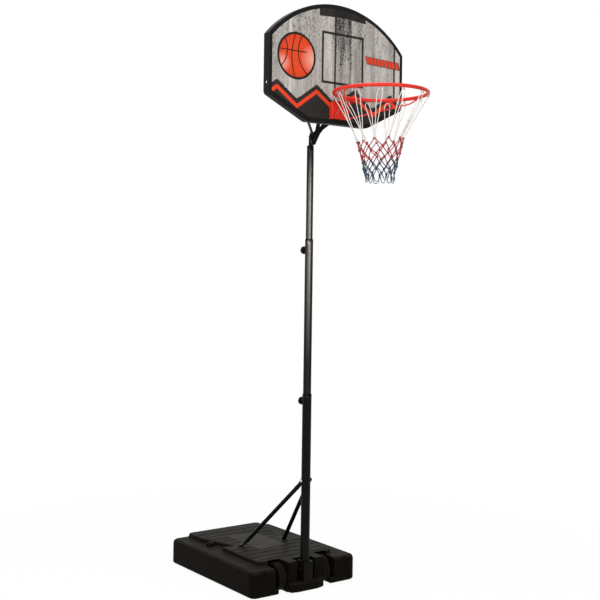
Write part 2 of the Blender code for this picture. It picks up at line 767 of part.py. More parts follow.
def make_bush(name, outer_tube, inner_tube, top):
    """Flanged bush that guides the inner tube."""
    bore = inner_tube + GAP
    sleeve = outer_tube - TUBE_WALL - GAP
    rim = outer_tube + BUSH_LIP
    profile = [
        (bore, top - BUSH_SLEEVE), (sleeve, top - BUSH_SLEEVE), (sleeve, top + GAP), (rim, top + GAP),
        (rim, top + BUSH_FLANGE - 0.001), (rim - 0.001, top + BUSH_FLANGE), (bore, top + BUSH_FLANGE),
    ]
    turned(name, profile, (0, 0, 0), (0, 0, 1), 24, "bush_plastic", ring=True)


def make_knob(prefix, outer_r, inner_r, z):
    """Clamp knob: a lobed head, its stud and the welded boss on the tube."""
    start = outer_r - 0.004
    seat = outer_r + BOSS_HEIGHT
    bore = STUD_R + GAP
    boss = turned(
        prefix + "_boss",
        ((bore, start), (BOSS_R, start), (BOSS_R, seat - 0.001), (BOSS_R - 0.001, seat), (bore, seat)),
        (0, 0, z), (0, 1, 0), 20, ring=True)
    cut(boss, rod("saddle", (0, 0, z - 0.03), (0, 0, z + 0.03), outer_r + GAP, 32))
    boss.data.materials.clear()
    boss.data.materials.append(material("pole_paint"))
    shade(boss, 40)
    tip = inner_r + GAP
    low = seat + GAP
    end = low + KNOB_SOCKET
    c = 0.0006
    turned(prefix + "_stud", ((STUD_R - c, tip), (STUD_R, tip + c), (STUD_R, end)), (0, 0, z), (0, 1, 0), 16,
           "zinc_steel")
    head = loft(prefix + "_head", [lobes(r, z, low + t) for r, t in (
        (KNOB_R * 0.64, 0.0), (KNOB_R * 0.66, 0.004), (KNOB_R * 0.97, 0.005), (KNOB_R, 0.007),
        (KNOB_R, KNOB_LENGTH - 0.002), (KNOB_R * 0.90, KNOB_LENGTH))])
    cut(head, rod("socket", (0, low - 0.01, z), (0, end + GAP, z), STUD_R + GAP, 16))
    head.data.materials.clear()
    head.data.materials.append(material("knob_plastic"))
    shade(head, 40)


def lobes(radius, z, y):
    """Outline of a lobed knob square to the y axis."""
    points = []
    count = KNOB_LOBES * 4
    for k in range(count):
        angle = 2 * math.pi * k / count
        depth = 0.10 * (0.5 - 0.5 * math.cos(KNOB_LOBES * angle)) ** 2
        reach = radius * (1.0 - depth)
        points.append((reach * math.cos(angle), y, z + reach * math.sin(angle)))
    return points


def flat_oval(centre, width_axis, thick_axis, half_width, half_thick, power, count=12):
    """Oval section; a higher power gives flatter sides."""
    points = []
    for k in range(count):
        angle = 2 * math.pi * (k + 0.5) / count
        c, s = math.cos(angle), math.sin(angle)
        a = math.copysign(abs(c) ** (2 / power), c) * half_width
        b = math.copysign(abs(s) ** (2 / power), s) * half_thick
        points.append(Vector(centre) + Vector(width_axis) * a + Vector(thick_axis) * b)
    return points


def make_brace(name, side):
    """Round brace with flattened ends: one on the pole's side, one on the deck."""
    w, t = BRACE_TAB_HALF, BRACE_TAB / 2
    x_top = side * (LOWER_R + GAP + t)
    foot = Vector((side * BRACE_FOOT[0], BRACE_FOOT[1], DECK_Z + GAP + t))
    heel = Vector((side * (BRACE_FOOT[0] - 0.0052), BRACE_FOOT[1] - 0.0112, DECK_Z + GAP + t))
    start = Vector((x_top, 0.014, BRACE_Z - 0.020))
    end = heel + Vector((0, 0, 0.0025))
    run = (end - start).normalized()
    top_dir = Vector((0, start.y, start.z - BRACE_Z)).normalized()
    flat_dir = Vector((foot.x - heel.x, foot.y - heel.y, 0)).normalized()
    top_w = Vector((1, 0, 0)).cross(top_dir).normalized()
    x_axis = Vector((1, 0, 0))
    bolt = Vector((x_top, 0, BRACE_Z))
    low_w = Vector((0, 0, 1)).cross(flat_dir).normalized()
    run_w = top_w
    run_t = run.cross(run_w).normalized()
    if run_t.dot(x_axis) < 0:
        run_t = -run_t
    if low_w.dot(run_w) < 0:
        low_w = -low_w
    hand = 1.0 if run.dot(run_w.cross(run_t)) > 0 else -1.0
    run_low = run.cross(low_w).normalized()
    low_t = Vector((0, 0, math.copysign(1.0, run_low.z * hand)))
    sections = [
        flat_oval(bolt - top_dir * w, top_w, x_axis, w * 0.30, t, 6),
        flat_oval(bolt - top_dir * w * 0.86, top_w, x_axis, w * 0.60, t, 6),
        flat_oval(bolt - top_dir * w * 0.45, top_w, x_axis, w * 0.92, t, 6),
        flat_oval(bolt, top_w, x_axis, w, t, 6),
        flat_oval(bolt + top_dir * 0.011, top_w, x_axis, w, t, 6),
        flat_oval(start + run * 0.006, run_w, run_t, w * 0.93, t * 1.6, 4),
        flat_oval(start + run * 0.022, run_w, run_t, BRACE_R * 1.12, BRACE_R * 0.72, 2.4),
        flat_oval(start + run * 0.040, run_w, run_t, BRACE_R, BRACE_R, 2),
    ]
    length = (end - start).length
    turn = math.atan2(run.dot(run_w.cross(low_w)), run_w.dot(low_w))
    rounds = 5
    for k in range(1, rounds):
        angle = turn * k / rounds
        wide = Matrix.Rotation(angle, 3, run) @ run_w
        at = start + run * (0.040 + (length - 0.084) * k / rounds)
        sections.append(flat_oval(at, wide, run.cross(wide) * hand, BRACE_R, BRACE_R, 2))
    sections += [
        flat_oval(start + run * (length - 0.044), low_w, run_low * hand, BRACE_R, BRACE_R, 2),
        flat_oval(start + run * (length - 0.026), low_w, run_low * hand, BRACE_R * 1.12, BRACE_R * 0.70, 2.4),
        flat_oval(start + run * (length - 0.010), low_w, run_low * hand, w * 0.93, t * 1.5, 4),
        flat_oval(heel + flat_dir * 0.003, low_w, low_t, w, t, 6),
        flat_oval(foot, low_w, low_t, w, t, 6),
        flat_oval(foot + flat_dir * w * 0.45, low_w, low_t, w * 0.92, t, 6),
        flat_oval(foot + flat_dir * w * 0.86, low_w, low_t, w * 0.60, t, 6),
        flat_oval(foot + flat_dir * w, low_w, low_t, w * 0.30, t, 6),
    ]
    brace = loft(name, sections, split=True)
    inside = rod("inside", start + run * 0.050, start + run * (length - 0.054), BRACE_R - BRACE_WALL, 14)
    cut(brace, inside)
    vent = start + run * (length - 0.075)
    cut(brace, rod("vent", vent, vent - run_low * 0.02, 0.0015, 8))
    cut(brace, rod("hole", bolt - x_axis * 0.01, bolt + x_axis * 0.01, HOLE_R, 14))
    cut(brace, rod("hole", foot - Vector((0, 0, 0.01)), foot + Vector((0, 0, 0.01)), HOLE_R, 14))
    brace.data.materials.clear()
    brace.data.materials.append(material("frame_paint"))
    shade(brace, 40)


def make_brace_screws():
    """Through bolt at the pole and a screw in each foot of the braces."""
    seat = LOWER_R + 2 * GAP + BRACE_TAB
    hex_bolt("brace_bolt", (-seat, 0, BRACE_Z), (1, 0, 0), 2 * seat + THREAD_END)
    hex_nut("brace_nut", (seat, 0, BRACE_Z), (1, 0, 0))
    z = DECK_Z + 2 * GAP + BRACE_TAB
    for name, side in (("foot_screw_left", -1), ("foot_screw_right", 1)):
        length = FOOT_HOLE_DEPTH + BRACE_TAB - 0.002
        hex_bolt(name, (side * BRACE_FOOT[0], BRACE_FOOT[1], z), (0, 0, -1), length)


def make_head():
    """Plug in the top of the upper tube with the upright plate that holds the arms."""
    top = UPPER_Z[1]
    plug_r = UPPER_R - TUBE_WALL - GAP
    profile = ((plug_r, top - PLUG_LENGTH), (plug_r, top + GAP), (UPPER_R, top + GAP), (UPPER_R, top + 0.005),
               (UPPER_R - 0.0015, top + 0.0075), (UPPER_R - 0.005, top + 0.009))
    head = turned("pole_head", profile, (0, 0, 0), (0, 0, 1), 28)
    plate = [(0.011, top + 0.004), (-0.012, top + 0.004), (-0.033, top + 0.0205), (-0.047, top + 0.0405),
             (-0.046, top + 0.0545), (0.004, top + 0.0545), (0.010, top + 0.0465)]
    sections = [[(x, y, z) for y, z in plate] for x in (-PLATE_HALF_X, PLATE_HALF_X)]
    join(head, loft("plate", sections))
    reach = PLATE_HALF_X + GAP + ARM_THICK
    y, z = OUTER_BOLT
    join(head, rod("spacer", (-reach, y, z), (reach, y, z), 0.0056, 18))
    for y, z in (INNER_BOLT, OUTER_BOLT):
        cut(head, rod("hole", (-0.02, y, z), (0.02, y, z), HOLE_R, 14))
    z = top - HEAD_SCREW_DROP
    r = HEAD_SCREW_R
    out = UPPER_R + GAP
    cut(head, rod("hole", (0, 0.004, z), (0, 2 * UPPER_R, z), r + GAP, 12))
    head.data.materials.clear()
    head.data.materials.append(material("frame_paint"))
    shade(head, 40)
    profile = ((r, 0.0048), (r, out), (2 * r, out), (1.8 * r, out + 0.0017), (r, out + 0.0027))
    turned("head_screw", profile, (0, 0, z), (0, 1, 0), 14, "zinc_steel")


def make_arm(name, side, bolt, end, x_near, lean, bend_at):
    """Flat arm from the head plate to a post on the board's back; its far end is twisted flat."""
    t = ARM_THICK / 2
    w = ARM_HALF_WIDTH
    x0 = side * (x_near + t)
    d1 = Vector((0, -lean, 1)).normalized()
    w1 = Vector((0, d1.z, -d1.y))
    start = Vector((x0, bolt[0], bolt[1]))
    bend = start + d1 * bend_at
    y_end = ARM_POST_Y + GAP + t
    tip = Vector((side * end[0], y_end, end[1]))
    reach = tip + Vector((0, 0, -0.017))
    d2 = (reach - bend).normalized()
    n2 = d2.cross(w1).normalized()
    if n2.x * side < 0:
        n2 = -n2
    w2 = w1 if abs(w1.dot(d2)) < 0.2 else n2.cross(d2).normalized()
    if w2.dot(w1) < 0:
        w2 = -w2
    n2 = d2.cross(w2).normalized()
    if n2.x * side < 0:
        n2 = -n2
    outward = Vector((side, 0, 0))
    flat_w = Vector((side, 0, 0))
    flat_t = Vector((0, -1, 0))

    def bar(centre, wide, half, thick):
        wide, thick = wide.normalized(), thick.normalized()
        return [centre + wide * (half * a) + thick * (t * b) for a, b in ((1, 1), (-1, 1), (-1, -1), (1, -1))]

    sections = []
    for step, share in ((-1.0, 0.25), (-0.87, 0.62), (-0.5, 0.90), (0.0, 1.0)):
        sections.append(bar(start + d1 * w * step, w1, w * share, outward))
    sections.append(bar(bend - d1 * 0.004, w1, w, outward))
    sections.append(bar(bend + d2 * 0.004, w2, w, n2))
    long = (reach - bend).length
    steps = 7
    twist_from = long * 0.62
    for k in range(steps + 1):
        s = k / steps
        at = bend + d2 * (twist_from + (long - 0.006 - twist_from) * s)
        wide = w2.lerp(flat_w, s)
        thick = n2.lerp(flat_t, s)
        wide.normalize()
        thick = (thick - wide * thick.dot(wide)).normalized()
        if k == steps:
            wide, thick = flat_w, flat_t
        sections.append(bar(at, wide, w, thick))
    sections[-1] = bar(Vector((reach.x, y_end, reach.z - 0.001)), flat_w, w, flat_t)
    for step, share in ((0.0, 1.0), (0.5, 0.90), (0.87, 0.62), (1.0, 0.25)):
        sections.append(bar(tip + Vector((0, 0, w * step)), flat_w, w * share, flat_t))
    arm = loft(name, sections, split=True)
    cut(arm, rod("hole", start - outward * 0.02, start + outward * 0.02, HOLE_R, 14))
    cut(arm, rod("hole", tip - Vector((0, 0.02, 0)), tip + Vector((0, 0.02, 0)), HOLE_R, 14))
    arm.data.materials.clear()
    arm.data.materials.append(material("frame_paint"))
    shade(arm, 30)


def make_arms():
    """Four arms with their bolts."""
    near = PLATE_HALF_X + GAP
    far = near + ARM_THICK + GAP
    for name, side in (("left", -1), ("right", 1)):
        make_arm("arm_inner_" + name, side, INNER_BOLT, INNER_END, near, INNER_LEAN, INNER_BEND)
        make_arm("arm_outer_" + name, side, OUTER_BOLT, OUTER_END, far, OUTER_LEAN, OUTER_BEND)
        y = ARM_POST_Y + 2 * GAP + ARM_THICK
        for row, (x, z) in (("inner_", INNER_END), ("outer_", OUTER_END)):
            hex_bolt("post_screw_" + row + name, (side * x, y, z), (0, -1, 0), ARM_POST_HOLE - 0.005)
    seat = near + ARM_THICK + GAP
    y, z = INNER_BOLT
    hex_bolt("arm_bolt_front", (-seat, y, z), (1, 0, 0), 2 * seat + THREAD_END)
    hex_nut("arm_nut_front", (seat, y, z), (1, 0, 0))
    seat = far + ARM_THICK + GAP
    y, z = OUTER_BOLT
    hex_bolt("arm_bolt_back", (-seat, y, z), (1, 0, 0), 2 * seat + THREAD_END)
    hex_nut("arm_nut_back", (seat, y, z), (1, 0, 0))


def board_outline(inset=0.0):
    """Front view of the board: a wide arc on top, upright sides and a tapered lower edge."""
    centre_z = BOARD_TOP_Z - BOARD_ARC_R
    side = BOARD_HALF_X - inset
    arc = BOARD_ARC_R - inset
    shoulder = centre_z + math.sqrt(arc ** 2 - side ** 2)
    x, z, low = BOARD_HALF_X, BOARD_SIDE_LOW_Z, BOARD_BOTTOM_HALF_X
    high = shoulder + x
    lower = [(-low, BOARD_BOTTOM_Z), (low, BOARD_BOTTOM_Z), (x, z), (x, high), (-x, high), (-x, z)]
    if inset:
        lower = offset(lower, inset)
    radii = [max(r - inset, 0.003) for r in (BOARD_LOW_R, BOARD_LOW_R, BOARD_SIDE_R)]
    corners = [(px, pz, r) for (px, pz), r in zip(lower, radii)]
    shoulder_r = max(BOARD_SHOULDER_R - inset, 0.003)
    corners.append((side, shoulder, shoulder_r))
    reach = math.asin((side - 1.5 * BOARD_SHOULDER_R) / arc)
    for k in range(BOARD_ARC_STEPS + 1):
        angle = reach - 2 * reach * k / BOARD_ARC_STEPS
        corners.append((arc * math.sin(angle), centre_z + arc * math.cos(angle), 0.0))
    corners.append((-side, shoulder, shoulder_r))
    corners.append((lower[5][0], lower[5][1], radii[2]))
    return fillet(corners, 4)


def facing(name, levels, slot=None):
    """Solid over front-view outlines, each with its depth."""
    return loft(name, [[(x, y, z) for x, z in outline] for y, outline in levels], slot)


def board_ribs():
    """Stiffening ribs behind the board's face, with their ends in its rim."""
    front = BOARD_FRONT_Y + 0.002
    back = front + RIB_DEPTH - 0.002
    slope = (BOARD_SIDE_LOW_Z - BOARD_BOTTOM_Z) / (BOARD_HALF_X - BOARD_BOTTOM_HALF_X)
    ribs = []
    for reach in (INNER_END[0], OUTER_END[0]):
        top = BOARD_TOP_Z - BOARD_ARC_R + math.sqrt(BOARD_ARC_R ** 2 - reach ** 2) - 0.002
        low = BOARD_BOTTOM_Z + max(0.0, reach - BOARD_BOTTOM_HALF_X) * slope + 0.0025
        for x in (-reach, reach):
            ribs.append(box("rib", (x - RIB_HALF, front, low), (x + RIB_HALF, back, top)))
    reach = BOARD_HALF_X - 0.002
    for z in RIB_Z:
        ribs.append(box("rib", (-reach, front, z), (reach, back - 0.002, z + 2 * RIB_HALF)))
    return ribs


def make_board():
    """Moulded board, open at the back, with ribs and posts, and its printed sheet."""
    plan = board_outline()
    front = BOARD_FRONT_Y
    back = front + BOARD_DEPTH
    board = facing("board_shell", [(front, board_outline(0.004)), (front + 0.0012, board_outline(0.0012)),
                                   (front + 0.004, plan), (back, plan)])
    inner = board_outline(BOARD_WALL)
    cut(board, facing("inside", [(front + BOARD_WALL, inner), (back + 0.01, inner)]))
    join(board, *board_ribs())
    for x, z in (INNER_END, OUTER_END):
        for side in (-1, 1):
            join(board, rod("post", (side * x, front + 0.002, z), (side * x, ARM_POST_Y, z), ARM_POST_R, 16))
            bottom = ARM_POST_Y - ARM_POST_HOLE
            cut(board, rod("hole", (side * x, bottom, z), (side * x, ARM_POST_Y + 0.02, z), HOLE_R, 14))
    y, z = front + 0.016, SIDE_HOLE_Z
    for side in (-1, 1):
        low, high = side * (BOARD_HALF_X - 0.02), side * (BOARD_HALF_X + 0.02)
        cut(board, rod("side_hole", (low, y, z), (high, y, z), SIDE_HOLE_R, 14))
    for x, z in rim_bolts():
        cut(board, rod("hole", (x, front - 0.02, z), (x, front + 0.03, z), HOLE_R, 14))
    board.data.materials.clear()
    board.data.materials.append(material("board_plastic"))
    shade(board, 35)
    sheet = board_outline(PRINT_BORDER)
    film = facing("print_sheet", [(front - GAP - PRINT_THICK, sheet), (front - GAP, sheet)])
    for x, z in rim_bolts():
        cut(film, rod("hole", (x, front - 0.02, z), (x, front + 0.03, z), HOLE_R, 14))
    film.data.materials.clear()
    film.data.materials.append(material("print_film"))


def rim_bolts():
    """Places of the four bolts that hold the rim bracket."""
    return [(side * RIM_BOLT_X, z) for z in RIM_BOLT_Z for side in (-1, 1)]


def make_bracket():
    """Folded bracket on the board: a front plate with side flanges and a shelf for the ring."""
    back = BOARD_FRONT_Y - 2 * GAP - PRINT_THICK
    front = BRACKET_FRONT_Y
    s = BRACKET_SHEET
    x = BRACKET_HALF_X
    shelf_top = RING_Z - RING_TUBE_R - GAP
    outer = box("rim_bracket", (-x, front, BRACKET_Z), (x, back, shelf_top))
    cut(outer, box("inside", (-x + s, front + s, BRACKET_Z - 0.01), (x - s, back + 0.01, shelf_top - s)))
    shelf = [(-x, front + 0.001), (-x * 0.72, SHELF_FRONT_Y + 0.004), (-x * 0.66, SHELF_FRONT_Y),
             (x * 0.66, SHELF_FRONT_Y), (x * 0.72, SHELF_FRONT_Y + 0.004), (x, front + 0.001)]
    join(outer, upright("shelf", [(shelf_top - s, shelf), (shelf_top, shelf)]))
    for bx, bz in rim_bolts():
        cut(outer, rod("hole", (bx, front - 0.01, bz), (bx, front + 0.01, bz), HOLE_R, 14))
    outer.data.materials.clear()
    outer.data.materials.append(material("rim_paint"))
    names = ("low_left", "low_right", "high_left", "high_right")
    for name, (bx, bz) in zip(names, rim_bolts()):
        length = (BOARD_FRONT_Y + BOARD_WALL) - front + 2 * GAP + THREAD_END
        hex_bolt("rim_bolt_" + name, (bx, front - GAP, bz), (0, 1, 0), length, slot="frame_paint")
        hex_nut("rim_nut_" + name, (bx, BOARD_FRONT_Y + BOARD_WALL + GAP, bz), (0, 1, 0))


def make_ring():
    """Round ring of the rim."""
    sections = []
    for k in range(RING_STEPS):
        angle = 2 * math.pi * k / RING_STEPS
        centre = (RING_R * math.cos(angle), RING_Y + RING_R * math.sin(angle), RING_Z)
        sections.append(circle(centre, (-math.sin(angle), math.cos(angle), 0), RING_TUBE_R, 10))
    looped("rim_ring", sections, "rim_paint", True)


def bent_rod(name, points, radius, slot, count=10):
    """Round rod along a row of points."""
    points = [Vector(p) for p in points]
    sections = []
    side = None
    for k, point in enumerate(points):
        before = points[max(k - 1, 0)]
        after = points[min(k + 1, len(points) - 1)]
        along = (after - before).normalized()
        if side is None:
            side = axes_for(along)[0]
        side = (side - along * side.dot(along)).normalized()
        up = along.cross(side)
        sections.append([point + side * (radius * math.cos(2 * math.pi * j / count))
                         + up * (radius * math.sin(2 * math.pi * j / count)) for j in range(count)])
    return loft(name, sections, slot, True, True)


def make_rods():
    """Two thin stays from the bracket's lower corners to the ring's sides."""
    top = RING_Z - RING_TUBE_R - GAP - ROD_R
    x, z = ROD_START
    front = BRACKET_FRONT_Y
    half = [(x + out, front - ahead, z + up) for out, ahead, up in STAY_START]
    half += [(RING_R - inside, RING_Y + behind, RING_Z - below) for inside, behind, below in STAY_BENDS]
    half += [(RING_R - inside, RING_Y + behind, top - below) for inside, behind, below in STAY_END]
    for name, side in (("rim_stay_left", -1), ("rim_stay_right", 1)):
        bent_rod(name, [(side * px, py, pz) for px, py, pz in half], ROD_R, "rim_paint")


def net_crossing(level, k):
    """Eight corners of a crossing of two cords: top, +side, bottom and -side, outer then inner."""
    radius, drop = NET_ROWS[level]
    wide, high, deep = NET_CROSSING
    angle = math.pi / NET_LOOPS * (2 * k + level % 2 + 1)
    out = Vector((math.cos(angle), math.sin(angle), 0))
    along = Vector((-out.y, out.x, 0))
    centre = Vector((0, RING_Y, RING_Z - drop)) + out * radius
    corners = []
    for a, b in ((0, 1), (1, 0), (0, -1), (-1, 0)):
        for c in (1, -1):
            corners.append(centre + along * (wide * a) + Vector((0, 0, high * b)) + out * (deep * c))
    return corners


def loop_sections(k):
    """Sections of the cord that goes from a top crossing's outer side over the ring to its inner side."""
    angle = math.pi / NET_LOOPS * (2 * k + 1)
    out = Vector((math.cos(angle), math.sin(angle), 0))
    along = Vector((-out.y, out.x, 0))
    centre = Vector((0, RING_Y, RING_Z)) + out * RING_R
    radius = NET_LOOP_R / math.cos(math.pi / NET_LOOP_ROWS)
    points = []
    for row in range(1, NET_LOOP_ROWS):
        turn = 2 * math.pi * row / NET_LOOP_ROWS - math.pi / 2
        arm = out * math.cos(turn) + Vector((0, 0, math.sin(turn)))
        for a, b in ((0, -1), (1, 0), (0, 1), (-1, 0)):
            points.append(centre + arm * (radius + NET_CORD_R * b) + along * (NET_CORD_R * a))
    return points


def make_net():
    """Diamond net as one skin: cords from crossing to crossing and a loop round the ring for each top one."""
    verts = []
    faces = []
    last = len(NET_ROWS) - 1

    def corner(level, k, place, inner):
        return (level * NET_LOOPS + k % NET_LOOPS) * 8 + place * 2 + inner

    def bridge(first, second):
        for j in range(4):
            n = (j + 1) % 4
            faces.append((first[j], first[n], second[n], second[j]))

    for level in range(last + 1):
        for k in range(NET_LOOPS):
            verts += net_crossing(level, k)
    for level in range(last + 1):
        for k in range(NET_LOOPS):
            shut = [(0, 1), (0, 3)] if level == 0 else []
            shut += [(2, 1), (2, 3)] if level == last else []
            for a, b in shut:
                faces.append([corner(level, k, *c) for c in ((a, 0), (b, 0), (b, 1), (a, 1))])
            if level > 0:
                faces.append([corner(level, k, place, 0) for place in range(4)])
                faces.append([corner(level, k, place, 1) for place in range(4)])
            if level == last:
                continue
            for lean, side, far in ((1, 1, 3), (-1, 3, 1)):
                n = (2 * k + level % 2 + lean - (level + 1) % 2) // 2
                high = [corner(level, k, *c) for c in ((side, 0), (2, 0), (2, 1), (side, 1))]
                low = [corner(level + 1, n, *c) for c in ((0, 0), (far, 0), (far, 1), (0, 1))]
                bridge(high, low)
    for k in range(NET_LOOPS):
        row = [corner(0, k, place, 0) for place in range(4)]
        base = len(verts)
        verts += loop_sections(k)
        for step in range(NET_LOOP_ROWS - 1):
            following = [base + step * 4 + j for j in range(4)]
            bridge(row, following)
            row = following
        bridge(row, [corner(0, k, place, 1) for place in range(4)])
    net = solid("net", verts, faces, "net_cord")
    shade(net, 60)


def set_origin(name, point):
    """Move an object's origin to a point on its joint's axis."""
    obj = bpy.data.objects[name]
    obj.data.transform(Matrix.Translation(-Vector(point)))
    obj.location = point


def set_origins():
    """Origins of the moving pieces."""
    for name in ("wheel_left", "wheel_right"):
        set_origin(name, (0, WHEEL_Y, WHEEL_Z))
    for prefix, radius, z in (("knob_lower", LOWER_R, KNOB_LOWER_Z), ("knob_upper", MIDDLE_R, KNOB_UPPER_Z)):
        for end in ("_stud", "_head"):
            set_origin(prefix + end, (0, radius + BOSS_HEIGHT, z))
    set_origin("filler_plug", (CAP_AT[0], CAP_AT[1], LEDGE_Z))
    set_origin("pole_middle", (0, 0, MIDDLE_Z[0]))
    set_origin("pole_upper", (0, 0, UPPER_Z[0]))


def main():
    """Build the whole stand."""
    clear_scene()
    make_tank()
    make_cap()
    make_axle()
    make_wheel("wheel_left", -1)
    make_wheel("wheel_right", 1)
    make_sleeve()
    make_pole()
    make_knob("knob_lower", LOWER_R, MIDDLE_R, KNOB_LOWER_Z)
    make_knob("knob_upper", MIDDLE_R, UPPER_R, KNOB_UPPER_Z)
    make_brace("brace_left", -1)
    make_brace("brace_right", 1)
    make_brace_screws()
    make_head()
    make_arms()
    make_board()
    make_bracket()
    make_ring()
    make_rods()
    make_net()
    set_origins()


main()
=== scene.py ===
"""Portable junior basketball stand, dressed for the studio.

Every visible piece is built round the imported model: the moulded tank, the pole, the board with its
printed sheet, the rim, the corded net and the fasteners. Metres, +Z up, the pole on the z axis.
"""
import json
import math
import random

import bmesh
import bpy
from bpy.props import FloatProperty, FloatVectorProperty, IntProperty, PointerProperty
from mathutils import Matrix, Vector


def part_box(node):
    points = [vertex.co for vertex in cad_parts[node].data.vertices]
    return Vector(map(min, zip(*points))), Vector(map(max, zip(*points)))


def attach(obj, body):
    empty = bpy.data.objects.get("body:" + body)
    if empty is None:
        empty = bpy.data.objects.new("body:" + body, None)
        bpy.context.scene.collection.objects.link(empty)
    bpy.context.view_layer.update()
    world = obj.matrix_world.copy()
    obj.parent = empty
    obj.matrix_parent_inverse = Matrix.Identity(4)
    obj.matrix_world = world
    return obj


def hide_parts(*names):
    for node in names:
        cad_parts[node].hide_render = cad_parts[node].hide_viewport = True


bl_info = {
    "name": "Basketball stand",
    "version": (1, 0, 0),
    "blender": (4, 5, 0),
    "location": "View3D > Sidebar > Stand",
    "description": "Builds a portable basketball stand with its board, rim and net",
    "category": "Object",
}

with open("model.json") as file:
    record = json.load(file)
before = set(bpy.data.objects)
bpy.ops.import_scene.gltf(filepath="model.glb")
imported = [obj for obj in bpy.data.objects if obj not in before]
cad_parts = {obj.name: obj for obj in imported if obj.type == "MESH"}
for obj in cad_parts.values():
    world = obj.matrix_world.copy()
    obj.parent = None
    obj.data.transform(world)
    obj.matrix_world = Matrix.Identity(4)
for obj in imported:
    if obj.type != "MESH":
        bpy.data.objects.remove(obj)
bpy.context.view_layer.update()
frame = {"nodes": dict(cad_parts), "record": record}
BODY_OF = {node: body for body, nodes in frame["record"]["behaviour"]["bodies"].items() for node in nodes}

GAP = 0.0003
X_AXIS, Y_AXIS, Z_AXIS = Vector((1, 0, 0)), Vector((0, 1, 0)), Vector((0, 0, 1))
SIDES = {"left": -1, "right": 1}


def low(node):
    """Lowest corner of a CAD node."""
    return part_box(node)[0]


def high(node):
    """Highest corner of a CAD node."""
    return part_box(node)[1]


def middle(node):
    """Centre of a CAD node's box."""
    return (low(node) + high(node)) / 2


# Sizes that the frame gives
TUBE_R = {name: high(name).x for name in ("pole_lower", "pole_middle", "pole_upper")}
RING_TUBE_R = (high("rim_ring").z - low("rim_ring").z) / 2
RING_R = high("rim_ring").x - RING_TUBE_R
RING_AT = middle("rim_ring")
BOARD_FRONT = low("board_shell").y
BOARD_BACK = high("board_shell").y
BOARD_LOW = low("board_shell").z
BOARD_TOP = high("board_shell").z
BOARD_HALF = high("board_shell").x
TANK_HALF = high("base_tank").x
TANK_BACK = high("base_tank").y

# Finer sizes of the pieces
TANK_FRONT = -0.010
HOLLOW_FRONT = 0.130
HUB_PROUD = 0.003
TREAD_WIDTH = 0.041
PLUG_STEM_R = 0.0127
PLUG_STEM_LENGTH = 0.016
SLEEVE_FLOOR = 0.0115
BOSS_R = 0.009
TUBE_WALL = 0.0012
# Heights between which the polish of the tubes grows and fades
POLISHED = (0.98, 1.40, 1.70, 1.87)
BOARD_ARC_R = 0.470
BOARD_SIDE_RISE = 0.095
BOARD_BOTTOM_HALF = 0.160
BOARD_WALL = 0.0038
SHEET_BORDER = 0.018
POST_HEIGHT = 0.030
RIB_RISES = (0.160, 0.310)
SIDE_HOLE_RISE = 0.140
SIDE_HOLE_R = 0.006
BRACE_R = 0.0093
BRACE_TAB = 0.003
BRACE_TAB_HALF = 0.0105
ARM_HALF = 0.013
ARM_THICK = 0.003
PLATE_HALF = 0.0025
BRACKET_DEPTH = 0.019
BRACKET_SHEET = 0.0025
STAY_R = 0.003
HEX_R = 0.0075
HEX_FLAT = HEX_R * math.cos(math.pi / 6)
HEX_HEIGHT = 0.0053
SHANK_R = 0.004
HOLE_R = 0.0043
THREAD_PITCH = 0.00125
THREAD_LENGTH = 0.022

# Fasteners that come in fours
RIM_BOLTS = ["rim_bolt_%s_%s" % (row, hand) for row in ("low", "high") for hand in SIDES]
POST_SCREWS = ["post_screw_%s_%s" % (row, hand) for row in ("inner", "outer") for hand in SIDES]

# Level direction in which the camera looks
VIEW_X, VIEW_Y = 0.5930, 0.8052


# Mesh helpers

def span(start, end, steps):
    """Evenly spaced values from start to end, both kept."""
    return [start + (end - start) * k / steps for k in range(steps + 1)]


def turns(start, end, steps):
    """Evenly spaced angles between two angles in degrees, in radians."""
    return [math.radians(angle) for angle in span(start, end, steps)]


def axes_for(direction):
    """Two unit vectors square to the direction."""
    along = Vector(direction).normalized()
    helper = Z_AXIS if abs(along.z) < 0.9 else X_AXIS
    side = along.cross(helper).normalized()
    return side, along.cross(side).normalized()


def towards(vector, guide):
    """The vector or its opposite, whichever points to the guide's side."""
    return -vector if vector.dot(guide) < 0 else vector


def polar(centre, side, up, reach, angle):
    """Point at a reach and an angle from a centre."""
    return centre + side * (reach * math.cos(angle)) + up * (reach * math.sin(angle))


def circle(centre, direction, radius, count, wave=None):
    """Points of a circle square to the direction; wave changes the radius with the angle."""
    side, up = axes_for(direction)
    angles = [2 * math.pi * k / count for k in range(count)]
    return [polar(Vector(centre), side, up, radius * (wave(a) if wave else 1.0), a) for a in angles]


def skin(shape, loops, ring=False, slot=0):
    """Faces over a row of equal point loops, with flat ends unless the row is a ring."""
    rows = [[shape.verts.new(point) for point in loop] for loop in loops]
    count = len(rows[0])
    pairs = list(zip(rows[:-1], rows[1:]))
    if ring:
        pairs.append((rows[-1], rows[0]))
    for first, second in pairs:
        for k in range(count):
            n = (k + 1) % count
            shape.faces.new((first[k], first[n], second[n], second[k])).material_index = slot
    if not ring:
        shape.faces.new(list(reversed(rows[0]))).material_index = slot
        shape.faces.new(rows[-1]).material_index = slot
    return shape


def turned(profile, origin, direction, count=64, ring=False):
    """Solid of revolution over a profile of (radius, distance along the direction)."""
    along = Vector(direction).normalized()
    return skin(bmesh.new(), [circle(Vector(origin) + along * t, along, r, count) for r, t in profile], ring)


def stack(levels, axis=2):
    """Solid over flat outlines, each with its place on the axis."""
    def point(pair, place):
        """Point of an outline at its place on the axis."""
        return Vector((*pair[:axis], place, *pair[axis:]))

    return skin(bmesh.new(), [[point(pair, place) for pair in outline] for place, outline in levels])


